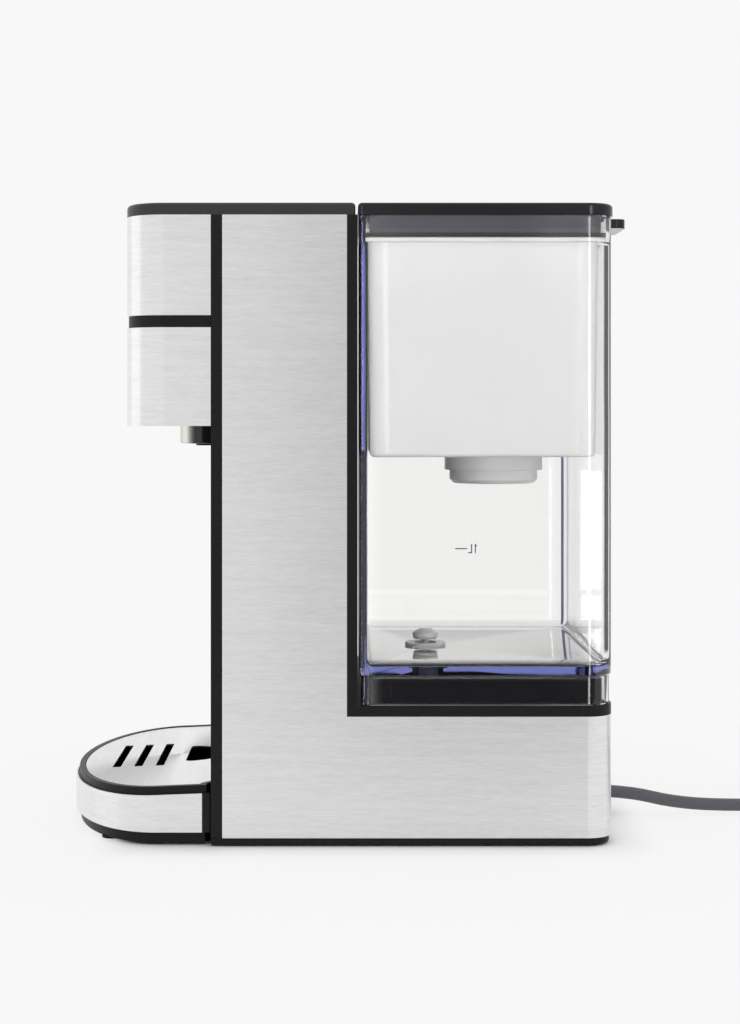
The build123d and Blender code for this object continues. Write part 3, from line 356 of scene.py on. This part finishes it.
# %% [markdown]
# The cord leaves the rear wall through its strain relief, drops to the table and runs out of the
# picture. What the picture doesn't show is wound into a coil past its edge. A NURBS line takes the
# route's points as its control points, so it bends as a soft lead does; the coil's half turns are
# worked out from the reach of each end, as the solid's are. The bevel depth is one and each point's
# radius is half the cord, because a curve's box is measured with its points' radius.

# %% Cord, coil and plug
CORD = 0.0066
CORD_X, CORD_Z = 0.015, 0.0122
BACK = body_high.y
COIL_RADIUS, COIL_GAP = 0.042, 0.0009
COIL_Y = BACK + 0.140
COIL_Z = 0.0042
LAYER_HALF_TURNS = 3
LAYER_SHIFT = 0.45
TAIL = 0.034
POINTS_PER_HALF_TURN = 8

route = [
    (CORD_X, BACK - 0.008, CORD_Z),
    (CORD_X, BACK + 0.016, CORD_Z),
    (CORD_X + 0.0016, BACK + 0.046, 0.0052),
    (CORD_X, BACK + 0.090, COIL_Z),
    (CORD_X, COIL_Y - CORD, COIL_Z),
]
coil_step = CORD + COIL_GAP
coil_x = CORD_X - COIL_RADIUS
inner = COIL_RADIUS - LAYER_HALF_TURNS * coil_step / 2
reaches = [COIL_RADIUS - k * coil_step / 2 for k in range(LAYER_HALF_TURNS + 1)]
reaches += [inner - coil_step]
reaches += [inner + (LAYER_SHIFT + k / 2) * coil_step for k in range(LAYER_HALF_TURNS + 1)]
ends = [(coil_x + (reach if k % 2 == 0 else -reach), COIL_Z + (k > LAYER_HALF_TURNS) * coil_step)
        for k, reach in enumerate(reaches)]
for k, ((x_a, z_a), (x_b, z_b)) in enumerate(zip(ends, ends[1:])):
    side = 1 if k % 2 == 0 else -1
    middle = (x_a + x_b) / 2
    for i in range(POINTS_PER_HALF_TURN):
        share = i / POINTS_PER_HALF_TURN
        angle = math.pi * share
        route.append((middle + (x_a - middle) * math.cos(angle),
                      COIL_Y + side * abs(x_a - middle) * math.sin(angle),
                      z_a + (z_b - z_a) * share))
tail_x, tail_z = ends[-1]
route += [(tail_x, COIL_Y + TAIL * share, tail_z) for share in (0, 0.5, 1)]

cord_curve = bpy.data.curves.new("mains_cord", "CURVE")
cord_curve.dimensions = "3D"
cord_curve.bevel_depth = 1.0
cord_curve.bevel_resolution = 4
cord_curve.use_fill_caps = True
cord_line = cord_curve.splines.new("NURBS")
cord_line.points.add(len(route) - 1)
for point, place in zip(cord_line.points, route):
    point.co = (*place, 1)
    point.radius = CORD / 2
cord_line.order_u = 3
cord_line.use_endpoint_u = True
cord_line.resolution_u = 6
mains_cord = bpy.data.objects.new("mains_cord", cord_curve)
bpy.context.scene.collection.objects.link(mains_cord)
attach(mains_cord, "housing")
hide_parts("cord_lead", "cord_coil")

sheath = Finish("cord_sheath", **{"Base Color": (*linear(86, 87, 92), 1), "Roughness": 0.42})
grain = sheath.noise((900, 900, 900))
sheath.feed(Base_Color=sheath.shades(grain, linear(74, 75, 80), linear(98, 99, 105)),
            Roughness=0.36 + 0.14 * grain)
sheath.soft_edges(0.0004, grain, 0.2, 0.0001)
cord_curve.materials.append(sheath.material)
dress(sheath, "strain_relief", "plug_body")
print("cord: points", len(route), "coil half turns", len(ends) - 1)

# %% [markdown]
# Brushed sheet is steel drawn past an abrasive belt: the scratches all run one way, short and broken.
# Noise that is stretched along the sheet gives them, in the colour, in the roughness and as a bump. It
# is laid by height, so the scratches also follow the sheet round its corners. The grille is brushed
# along its length, so its noise is stretched along X instead. The nozzle's sleeve is polished in front,
# and behind it is painted shade: a ramp to near black, for the dark side of the round sleeve.

# %% Brushed and polished steel
STEEL_DARK, STEEL_LIGHT = linear(226), linear(246)


def brushed(name, fine, broad, turn):
    """Steel brushed across the direction in which its noise is fine."""
    steel = Finish(name, **{"Metallic": 1.0, "Base Color": (*STEEL_LIGHT, 1), "Roughness": 0.34,
                            "Anisotropic": 0.95, "Anisotropic Rotation": turn})
    scratch = steel.noise(fine, detail=3.0, roughness=0.6)
    cloud = steel.noise(broad, detail=1.0)
    tone = steel.node("ShaderNodeMapRange", {}, {"Value": 0.75 * scratch + 0.25 * cloud, "From Min": 0.3,
                                                 "From Max": 0.7})
    steel.feed(Base_Color=steel.shades(tone, STEEL_DARK, STEEL_LIGHT), Roughness=0.29 + 0.10 * scratch)
    steel.soft_edges(0.0004, scratch, 0.08, 0.0002)
    return steel


upright_steel = brushed("brushed_steel", (130, 130, 2600), (30, 30, 420), turn=0.25)
flat_steel = brushed("brushed_grille", (60, 1800, 60), (20, 260, 20), turn=0.0)
upright_pieces = ("steel_skin", "head_upper_band", "head_lower_band", "tray_band")
dress(upright_steel, *upright_pieces)
dress(flat_steel, "tray_grille")

SLEEVE_BRIGHT, SLEEVE_BLACK = -0.0877, -0.0819
POLISH, SLEEVE_PAINTED_SHADE = linear(212, 210, 203), linear(40, 38, 36)
polished = Finish("polished_steel", **{"Metallic": 1.0, "Base Color": (*POLISH, 1), "Roughness": 0.1})
turned_lines = polished.noise((200, 200, 3000))
# Painted shade: across Y the sleeve ramps to near black and loses its metal, for its dark side where it
# mirrors the black column.
rear = polished.node("ShaderNodeMapRange", {"interpolation_type": "SMOOTHSTEP"},
                     {"Value": polished.along("Y"), "From Min": SLEEVE_BRIGHT, "From Max": SLEEVE_BLACK})
polished.feed(Base_Color=polished.shades(rear, POLISH, SLEEVE_PAINTED_SHADE), Metallic=1 - rear,
              Roughness=0.06 + 0.08 * turned_lines)
polished.soft_edges(0.0003, turned_lines, 0.05, 0.0001)
dress(polished, "nozzle_sleeve")
print("steel: upright brushing on", len(upright_pieces), "nodes")

# %% [markdown]
# The black mouldings come in three finishes. The housing has a satin, spark-eroded grain, the cover is a
# little smoother and paler, and the lid and the tank's platform come from a polished mould. Their sheen
# is kept low, because in a white studio even black plastic mirrors some white. Rubber is duller still.
# The part of the lid that reaches into the tank is painted smoky grey: a painted reflection, for the paler
# sheen its gloss black shows through the tank's rim.

# %% Black plastics and rubber


def moulded(name, dark, light, rough, specular, grain, bump):
    """Moulded plastic with a fine grain in its colour, gloss and surface."""
    plastic = Finish(name, **{"Base Color": (*light, 1), "Roughness": rough,
                              "Specular IOR Level": specular})
    fine = plastic.noise((grain,) * 3)
    broad = plastic.noise((18, 18, 18))
    plastic.feed(Base_Color=plastic.shades(0.5 * fine + 0.5 * broad, dark, light),
                 Roughness=rough - 0.04 + 0.05 * fine + 0.04 * broad)
    plastic.soft_edges(0.0005, fine, bump, 0.0001)
    return plastic


satin_black = moulded("black_plastic", linear(18, 18, 20), linear(30, 30, 33),
                      rough=0.38, specular=0.16, grain=2600, bump=0.12)
cover_black = moulded("cover_black", linear(44), linear(58),
                      rough=0.3, specular=0.25, grain=1200, bump=0.06)
gloss = {"dark": linear(16, 16, 20), "light": linear(30, 30, 36),
         "rough": 0.12, "specular": 0.28, "grain": 400, "bump": 0.02}
gloss_black = moulded("gloss_black", **gloss)
lid_black = moulded("lid_black", **gloss)
rubber = moulded("rubber", linear(22), linear(36), rough=0.7, specular=0.2, grain=1800, bump=0.3)
dress(satin_black, "main_housing", "front_fascia", "base_plate", "head_frame", "head_underside",
      "drip_tray", "cord_tie")
dress(cover_black, "top_cover")
dress(gloss_black, "tank_seat", "outlet_tip")
dress(rubber, "rubber_feet", "tray_feet", "lid_gasket", "dock_seal", "pump_cradle")

# Painted reflection: below the tank's top the lid is painted a paler grey, for the sheen seen on its skirt
# through the tank's rim.
LID_SHADE, SKIRT_PAINTED_SHEEN = linear(25, 25, 30), linear(90, 89, 98)
skirt = lid_black.node("ShaderNodeMath", {"operation": "LESS_THAN"},
                       {0: lid_black.along("Z"), 1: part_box("tank")[1].z})
lid_black.feed(Base_Color=lid_black.shades(skirt, LID_SHADE, SKIRT_PAINTED_SHEEN))
dress(lid_black, "lid")
print("black mouldings dressed")

# %% [markdown]
# The funnel is white and slightly glossy; the parts that carry the filter and the valve on the tank's
# floor are pale. The pieces inside the body are dressed as plainly as they are on a bench: hoses in milky
# silicone, metal cans, green boards.

# %% Pale plastics and inner pieces
white_plastic = moulded("white_plastic", linear(236), linear(246),
                        rough=0.22, specular=0.5, grain=900, bump=0.02)
pale_plastic = moulded("pale_plastic", linear(236), linear(247),
                       rough=0.32, specular=0.5, grain=1200, bump=0.05)
grey_plastic = moulded("grey_plastic", linear(184, 184, 186), linear(203, 203, 205),
                       rough=0.34, specular=0.5, grain=1400, bump=0.08)
silicone = moulded("silicone_hose", linear(205, 204, 200), linear(222, 222, 218),
                   rough=0.4, specular=0.4, grain=700, bump=0.05)
board_green = moulded("circuit_board", linear(28, 92, 52), linear(44, 118, 70),
                      rough=0.45, specular=0.4, grain=500, bump=0.1)
dress(pale_plastic, "filter_socket", "filter_cartridge", "tank_valve_body", "valve_plunger")
dress(grey_plastic, "dock_coupler", "flow_meter", "flow_turbine", "pump_body", "pump_rotor")
dress(silicone, "inlet_hose", "suction_hose", "feed_hose", "hot_hose", "valve_seal")
dress(board_green, "touch_board", "power_board")


def plain_metal(name, shade, rough):
    """Metal as it comes from the press or the lathe."""
    metal = Finish(name, **{"Metallic": 1.0, "Base Color": (*shade, 1), "Roughness": rough})
    worn = metal.noise((300, 300, 300))
    metal.feed(Roughness=rough - 0.06 + 0.12 * worn)
    metal.soft_edges(0.0003, worn, 0.05, 0.0001)
    return metal


can_steel = plain_metal("can_steel", linear(186, 187, 190), 0.3)
pin_metal = plain_metal("pin_metal", linear(206, 202, 190), 0.2)
dress(can_steel, "base_screws", "pump_motor", "heater", "heater_brackets", "thermal_cutouts")
dress(pin_metal, "plug_pins")
print("pale and inner pieces dressed")

# %% [markdown]
# The touch panel is a black pane in the cover, hidden in the photograph. Such panels carry printed
# keys, so plain rings are drawn with the distance to each key's middle: a ring where that distance
# is near the key's radius, and a dot in its middle.

# %% Touch panel with plain key rings
panel_low, panel_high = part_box("control_panel")
KEYS, KEY_PITCH = (-1.5, -0.5, 0.5, 1.5), 0.028
KEY_RADIUS, KEY_LINE, KEY_DOT = 0.0085, 0.0005, 0.0015
KEY_Y = (panel_low.y + panel_high.y) / 2
PANE, PRINT = linear(14), linear(190)
glass = Finish("black_glass", **{"Base Color": (*PANE, 1), "Roughness": 0.06, "Coat Weight": 0.3})
key_place = glass.node("ShaderNodeTexCoord", {}, {}, out="Object")
printed = 0.0
for key in KEYS:
    reach = glass.node("ShaderNodeVectorMath", {"operation": "DISTANCE"},
                       {0: key_place, 1: (key * KEY_PITCH, KEY_Y, panel_high.z)}, out="Value")
    ring = glass.node("ShaderNodeMath", {"operation": "COMPARE"}, {0: reach, 1: KEY_RADIUS, 2: KEY_LINE})
    dot = glass.node("ShaderNodeMath", {"operation": "COMPARE"}, {0: reach, 1: 0.0, 2: KEY_DOT})
    printed = ring + dot + printed
smudge = glass.noise((40, 40, 40), detail=3.0)
glass.feed(Base_Color=glass.shades(printed.limit(), PANE, PRINT), Roughness=0.03 + 0.12 * smudge)
dress(glass, "control_panel")
print("touch panel:", len(KEYS), "keys")

# %% [markdown]
# The tank is one clear moulding: straight walls about 3 mm thick, a floor with a rounded edge inside,
# a ledge near the top for the funnel and a skirt below that slips over the platform. Clear plastic
# shows every facet, so it is built here as a closed loop of rings, each a rounded rectangle with the
# same number of points. Small bevels catch the light at each edge, and the inner wall swells by a few
# hundredths of a millimetre, as moulded walls do, so that the lines in the corners wander a little.

# %% Clear tank as a loop of rings
tank_low, tank_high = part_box("tank")
tank_half = tank_high.x
valve_low, valve_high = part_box("tank_valve_body")
funnel_low, funnel_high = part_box("funnel")
TANK_FRONT, TANK_BACK = tank_low.y, body_high.y
WALL, RIM_WALL, FLOOR = 0.0030, 0.0022, 0.0039
SKIRT_INSET, SKIRT_WALL = 0.0010, 0.0020
FRONT_RADIUS, REAR_RADIUS = 0.0012, 0.0130
SEAT_GAP, LEDGE_DROP = 0.0019, 0.0025
FLOOR_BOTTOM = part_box("tank_seat")[1].z + SEAT_GAP
FLOOR_TOP = FLOOR_BOTTOM + FLOOR
LEDGE = funnel_high.z - LEDGE_DROP
FLOOR_ROUND, LEAST_ROUND = 0.0045, 0.0012
EDGE = 0.0005
HOLD = 4 * EDGE
CORNER_STEPS, SIDE_STEPS = 12, 6
SHARP_ANGLE = math.radians(40)
HOLE = 0.0081
HOLE_Y = (valve_low.y + valve_high.y) / 2


def rounded_ring(x, y_front, y_back, z, front, rear):
    """Points of a rounded rectangle; front and rear are how far a corner reaches along X and along Y."""
    corners = [(1, y_back, rear, 0), (-1, y_back, rear, 90)]
    corners += [(-1, y_front, front, 180), (1, y_front, front, 270)]
    points = []
    for side, y, (reach_x, reach_y), start in corners:
        middle = Vector((side * (x - reach_x), y - reach_y if y == y_back else y + reach_y))
        for i in range(CORNER_STEPS + 1):
            angle = math.radians(start + 90 * i / CORNER_STEPS)
            points.append(middle + Vector((reach_x * math.cos(angle), reach_y * math.sin(angle))))
    ring = []
    for i, point in enumerate(points):
        ring.append((*point, z))
        following = points[(i + 1) % len(points)]
        if i % (CORNER_STEPS + 1) == CORNER_STEPS:
            ring += [(*point.lerp(following, k / SIDE_STEPS), z) for k in range(1, SIDE_STEPS)]
    return ring


def tank_ring(inset, z):
    """The tank's plan at a height, drawn in by an inset."""
    front = max(FRONT_RADIUS - inset, LEAST_ROUND)
    rear = max(REAR_RADIUS - inset, LEAST_ROUND)
    return rounded_ring(tank_half - inset, TANK_FRONT + inset, TANK_BACK - inset, z,
                        (front, front), (rear, rear))


def hole_ring(around, y, radius, z):
    """Points of a round hole, each in line with the point of the ring around it."""
    middle = Vector((0, y, z))
    return [tuple(middle + (Vector((*point[:2], z)) - middle).normalized() * radius) for point in around]


def quarter(inset, z, across, down, steps=3):
    """Insets and heights along a quarter round from one face to the next."""
    turns = [math.pi / 2 * i / steps for i in range(steps + 1)]
    return [(inset + across * (1 - math.cos(turn)), z + down * math.sin(turn)) for turn in turns]


def ring_loft(name, rings, closed=True):
    """A mesh of quads between rings of equal count, smooth except at sharp edges, capped if it has ends."""
    count = len(rings[0])
    pairs = len(rings) if closed else len(rings) - 1
    faces = [] if closed else [tuple(range(count))[::-1], tuple(range(pairs * count, (pairs + 1) * count))]
    for r in range(pairs):
        a, b = r * count, (r + 1) % len(rings) * count
        faces += [(a + i, a + (i + 1) % count, b + (i + 1) % count, b + i) for i in range(count)]
    mesh = bpy.data.meshes.new(name)
    mesh.from_pydata([point for ring in rings for point in ring], [], faces)
    mesh.polygons.foreach_set("use_smooth", [True] * len(mesh.polygons))
    mesh.set_sharp_from_angle(angle=SHARP_ANGLE)
    made = bpy.data.objects.new(name, mesh)
    bpy.context.scene.collection.objects.link(made)
    return made


top = tank_high.z
profile = [(SKIRT_INSET + EDGE, tank_low.z), (SKIRT_INSET, tank_low.z + EDGE)]
profile += [(SKIRT_INSET, FLOOR_BOTTOM - EDGE), (SKIRT_INSET - EDGE, FLOOR_BOTTOM), (EDGE, FLOOR_BOTTOM)]
profile += [(0, FLOOR_BOTTOM + EDGE), (0, FLOOR_BOTTOM + HOLD)]
profile += [(0, top - HOLD), (0, top - EDGE), (EDGE, top), (RIM_WALL - EDGE, top), (RIM_WALL, top - EDGE)]
profile += [(RIM_WALL, LEDGE + EDGE), (RIM_WALL + EDGE / 2, LEDGE)]
profile += [(WALL - EDGE / 2, LEDGE), (WALL, LEDGE - EDGE)]
WALL_RINGS = 36
SWELL_BROAD, SWELL_FINE = 0.00006, 0.00004
BROAD_WAVES, FINE_WAVES, FINE_START = 9, 23, 1
wall_top, wall_bottom = LEDGE - HOLD, FLOOR_TOP + FLOOR_ROUND
for i in range(WALL_RINGS + 1):
    share = i / WALL_RINGS
    ease = math.sin(math.pi * share)
    swell = SWELL_BROAD * math.sin(BROAD_WAVES * share) * ease
    swell += SWELL_FINE * math.sin(FINE_WAVES * share + FINE_START)
    profile.append((WALL + swell * ease, wall_top + (wall_bottom - wall_top) * share))
profile += quarter(WALL, wall_bottom, FLOOR_ROUND, -FLOOR_ROUND, steps=8)[1:]
rings = [tank_ring(inset, z) for inset, z in profile]
rings += [hole_ring(rings[-1], HOLE_Y, HOLE, z) for z in (FLOOR_TOP, FLOOR_BOTTOM)]
skirt_inner = SKIRT_INSET + SKIRT_WALL
rings += [tank_ring(skirt_inner + EDGE, FLOOR_BOTTOM), tank_ring(skirt_inner, FLOOR_BOTTOM - EDGE)]
rings += [tank_ring(skirt_inner, tank_low.z + EDGE), tank_ring(skirt_inner - EDGE, tank_low.z)]
clear_tank = ring_loft("clear_tank", rings)
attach(clear_tank, "tank")
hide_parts("tank")
glossy_takers.objects.link(clear_tank)

CLEAR_SHADE = (1.0, 0.998, 0.976)
TINT, TINT_PER_METRE = (0.11, 0.16, 0.70), 10.0
FLOOR_MARGIN = 0.0002
clear = Finish("clear_plastic", **{"Base Color": (*CLEAR_SHADE, 1), "Roughness": 0.02, "IOR": 1.49,
                                   "Transmission Weight": 1.0})
absorb = clear.node("ShaderNodeVolumeAbsorption", {}, {"Color": (*TINT, 1), "Density": TINT_PER_METRE})
clear.plug(clear.output, "Volume", absorb)
floor_middle, floor_half = (FLOOR_TOP + FLOOR_BOTTOM) / 2, FLOOR / 2 + FLOOR_MARGIN
floor_faces = clear.node("ShaderNodeMath", {"operation": "COMPARE"},
                         {0: clear.along("Z"), 1: floor_middle, 2: floor_half})
clear.feed(Coat_Weight=floor_faces)
clear_tank.data.materials.append(clear.material)
print("tank:", len(rings), "rings of", len(rings[0]), "points")

# %% [markdown]
# A small wedge stands under the lid's rear tab. It is part of the same clear moulding and sits against
# the rear wall. Its section is three points, drawn out to both sides, and a bevel softens its edges.

# %% Clear lug under the tab
LUG_HALF, LUG_REACH = 0.015, 0.008
lug_section = [(TANK_BACK, top), (TANK_BACK + LUG_REACH, top), (TANK_BACK, top - LUG_REACH)]
lug_points = [(side * LUG_HALF, y, z) for side in (-1, 1) for y, z in lug_section]
lug_mesh = bpy.data.meshes.new("tank_lug")
lug_mesh.from_pydata(lug_points, [], [(0, 1, 2), (5, 4, 3), (0, 3, 4, 1), (1, 4, 5, 2), (2, 5, 3, 0)])
tank_lug = bpy.data.objects.new("tank_lug", lug_mesh)
bpy.context.scene.collection.objects.link(tank_lug)
bevel = tank_lug.modifiers.new("soft_edges", "BEVEL")
bevel.width = EDGE
bevel.segments = 3
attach(tank_lug, "tank")
lug_mesh.materials.append(clear.material)
print("lug:", len(lug_points), "corners")

# %% [markdown]
# The funnel hangs on the tank's ledge by its flange: a white tapered box with a hole for the filter.
# Its front corners are eased by a long flat curve and its rear corners are round, and these curves carry
# the two bright lines of the picture. It is the same loop of rings as the tank: from the hole, out under
# the floor, up the outside, over the flange and down the inside.

# %% White funnel
FUNNEL_WALL, FUNNEL_TAPER, FUNNEL_INSET = 0.0020, 0.0012, 0.0055
FUNNEL_FRONT, FLANGE = 0.0040, 0.0024
FRONT_EASE, REAR_ROUND, LEAST_EASE = (0.0035, 0.0120), 0.0118, 0.001
FILTER_HOLE = 0.0238
FUNNEL_STEPS = 6
socket_low, socket_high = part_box("filter_socket")
filter_y = (socket_low.y + socket_high.y) / 2
flange_inset = tank_half - funnel_high.x
flange_z = funnel_high.z - FLANGE


def funnel_ring(extra, z):
    """The funnel's plan at a height, drawn in from its outside by an extra inset."""
    share = (funnel_high.z - z) / (funnel_high.z - funnel_low.z)
    inset = FUNNEL_TAPER * share + extra
    front = [max(reach - extra, LEAST_EASE) for reach in FRONT_EASE]
    rear = [max(REAR_ROUND - extra, LEAST_EASE)] * 2
    return rounded_ring(tank_half - FUNNEL_INSET - inset, TANK_FRONT + FUNNEL_FRONT + inset,
                        TANK_BACK - FUNNEL_INSET - inset, z, front, rear)


floor_round = [(inset, funnel_low.z + FUNNEL_WALL - rise)
               for inset, rise in quarter(0, 0, FUNNEL_WALL, FUNNEL_WALL)]
outside = [funnel_ring(inset, z) for inset, z in reversed(floor_round)]
outside += [funnel_ring(0, funnel_low.z + (flange_z - funnel_low.z) * k / FUNNEL_STEPS)
            for k in range(1, FUNNEL_STEPS + 1)]
outside += [tank_ring(flange_inset + EDGE, flange_z), tank_ring(flange_inset, flange_z + EDGE)]
outside += [tank_ring(flange_inset, funnel_high.z - EDGE), tank_ring(flange_inset + EDGE, funnel_high.z)]
inside = [funnel_ring(FUNNEL_WALL - EDGE, funnel_high.z), funnel_ring(FUNNEL_WALL, funnel_high.z - EDGE)]
inside += [funnel_ring(FUNNEL_WALL, funnel_low.z + 2 * FUNNEL_WALL)]
inside += [funnel_ring(1.5 * FUNNEL_WALL, funnel_low.z + FUNNEL_WALL)]
hole = [hole_ring(outside[0], filter_y, FILTER_HOLE, z) for z in (funnel_low.z + FUNNEL_WALL, funnel_low.z)]
white_funnel = ring_loft("white_funnel", outside + inside + hole)
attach(white_funnel, "funnel")
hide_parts("funnel")
white_funnel.data.materials.append(white_plastic.material)
glossy_takers.objects.link(white_funnel)
print("funnel:", len(outside + inside + hole), "rings")

# %% [markdown]
# The valve's spring sits between the plunger's collar and the hub. The plunger can rise by two
# millimetres, and the spring then shortens by as much. The spring is a mesh of its own: round sections
# along a helix.

# %% Valve spring
spring_low, spring_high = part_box("valve_spring")
SPRING_WIRE, SPRING_TURNS, VALVE_RISE = 0.0007, 3, 0.002
SECTION_POINTS, STEPS_PER_TURN = 10, 24
coil_radius = (spring_high.x - spring_low.x - SPRING_WIRE) / 2
coil_middle = Vector((0, (spring_low.y + spring_high.y) / 2, spring_low.z + SPRING_WIRE / 2))
coil_length = spring_high.z - spring_low.z - SPRING_WIRE
sections = []
for k in range(SPRING_TURNS * STEPS_PER_TURN + 1):
    turn = 2 * math.pi * k / STEPS_PER_TURN
    outward = Vector((math.cos(turn), math.sin(turn), 0))
    lift = Vector((0, 0, coil_length * k / (SPRING_TURNS * STEPS_PER_TURN)))
    middle = coil_middle + outward * coil_radius + lift
    angles = [2 * math.pi * n / SECTION_POINTS for n in range(SECTION_POINTS)]
    sections.append([tuple(middle + (outward * math.cos(a) + Vector((0, 0, math.sin(a)))) * SPRING_WIRE / 2)
                     for a in angles])
coil_spring = ring_loft("coil_spring", sections, closed=False)
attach(coil_spring, "tank")
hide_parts("valve_spring")
coil_spring.data.materials.append(can_steel.material)
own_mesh(coil_spring)
print("spring: sections", len(sections), "length", round(coil_length, 4))

# %% [markdown]
# Three small details of the tank are made of bars. Below the funnel the edge of the front wall looks navy,
# because it stands against the dark column; a slim dark bar inside each end of that wall is painted shade
# for it, and a pale violet one is painted light for the tinted line at the edge of the far rear corner. And
# a plain level mark is printed on the far wall, to be read from outside, so from this side it is mirrored:
# a dash, then the letter and the figure of one litre, each stroke a thin bar.

# %% Painted shade and light on the tank's edges, and the level mark
BAR_SIDES = [(0, 1, 3, 2), (4, 6, 7, 5), (0, 4, 5, 1), (2, 3, 7, 6), (0, 2, 6, 4), (1, 5, 7, 3)]


def bars(name, spans, finish):
    """A piece of the tank made of straight bars, each given by its X, Y and Z ranges."""
    points, faces = [], []
    for xs, ys, zs in spans:
        first = len(points)
        points += [(x, y, z) for x in xs for y in ys for z in zs]
        faces += [tuple(first + corner for corner in side) for side in BAR_SIDES]
    mesh = bpy.data.meshes.new(name)
    mesh.from_pydata(points, [], faces)
    mesh.materials.append(finish.material)
    made = bpy.data.objects.new(name, mesh)
    bpy.context.scene.collection.objects.link(made)
    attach(made, "tank")


EDGE_GAP, EDGE_DEPTH = 0.0005, 0.0045
edge_x = tank_half - FRONT_RADIUS - EDGE_GAP
edge_y = (TANK_FRONT + EDGE_GAP, TANK_FRONT + WALL - EDGE_GAP)
edge_z = (FLOOR_TOP, funnel_low.z + EDGE_GAP)
# Painted shade: slim dark bars inside both ends of the front wall, below the funnel, for the dark edge that
# wall shows against the column.
navy = moulded("navy_painted_shade_edge", linear(20, 22, 36), linear(28, 31, 48),
               rough=0.5, specular=0.1, grain=700, bump=0.05)
edges = [(edge_x - EDGE_DEPTH, edge_x), (-edge_x, EDGE_DEPTH - edge_x)]
bars("front_painted_shade", [(xs, edge_y, edge_z) for xs in edges], navy)

# Painted light: a pale violet bar in the far rear corner, for the tinted line of light that this corner of
# the clear wall shows.
CORNER_X, CORNER_Y = (-0.0860, -0.0842), (0.1242, 0.1258)
violet = moulded("violet_painted_light_edge", linear(176, 178, 222), linear(190, 192, 234),
                 rough=0.3, specular=0.3, grain=700, bump=0.05)
bars("corner_painted_light", [(CORNER_X, CORNER_Y, edge_z)], violet)

MARK_Y, MARK_Z = 0.0621, 0.1320
MARK_HIGH, MARK_LINE, MARK_PROUD = 0.0054, 0.0006, 0.0002
mark_x = -tank_half + WALL
# Each stroke has its Y and Z ranges: the dash, the letter's foot and stem, the figure's stem and flag.
strokes = [
    (0.0000, 0.0070, -MARK_LINE / 2, MARK_LINE / 2),
    (0.0075, 0.0099 - MARK_LINE, -MARK_HIGH / 2, MARK_LINE - MARK_HIGH / 2),
    (0.0099 - MARK_LINE, 0.0099, -MARK_HIGH / 2, MARK_HIGH / 2),
    (0.0115, 0.0115 + MARK_LINE, -MARK_HIGH / 2, MARK_HIGH / 2),
    (0.0115 + MARK_LINE, 0.0128, MARK_HIGH / 2 - 2 * MARK_LINE, MARK_HIGH / 2 - MARK_LINE),
]
ink = moulded("level_ink", linear(70, 70, 78), linear(92, 92, 100),
              rough=0.5, specular=0.3, grain=900, bump=0.05)
mark_xs = (mark_x - MARK_PROUD / 2, mark_x + 1.5 * MARK_PROUD)
marks = [(mark_xs, (MARK_Y + y_low, MARK_Y + y_high), (MARK_Z + z_low, MARK_Z + z_high))
         for y_low, y_high, z_low, z_high in strokes]
bars("level_mark", marks, ink)
print("bars: edges", len(edges), "strokes", len(strokes))

# %% [markdown]
# The last step brings the scene up to date.

# %% Finish
bpy.context.view_layer.update()
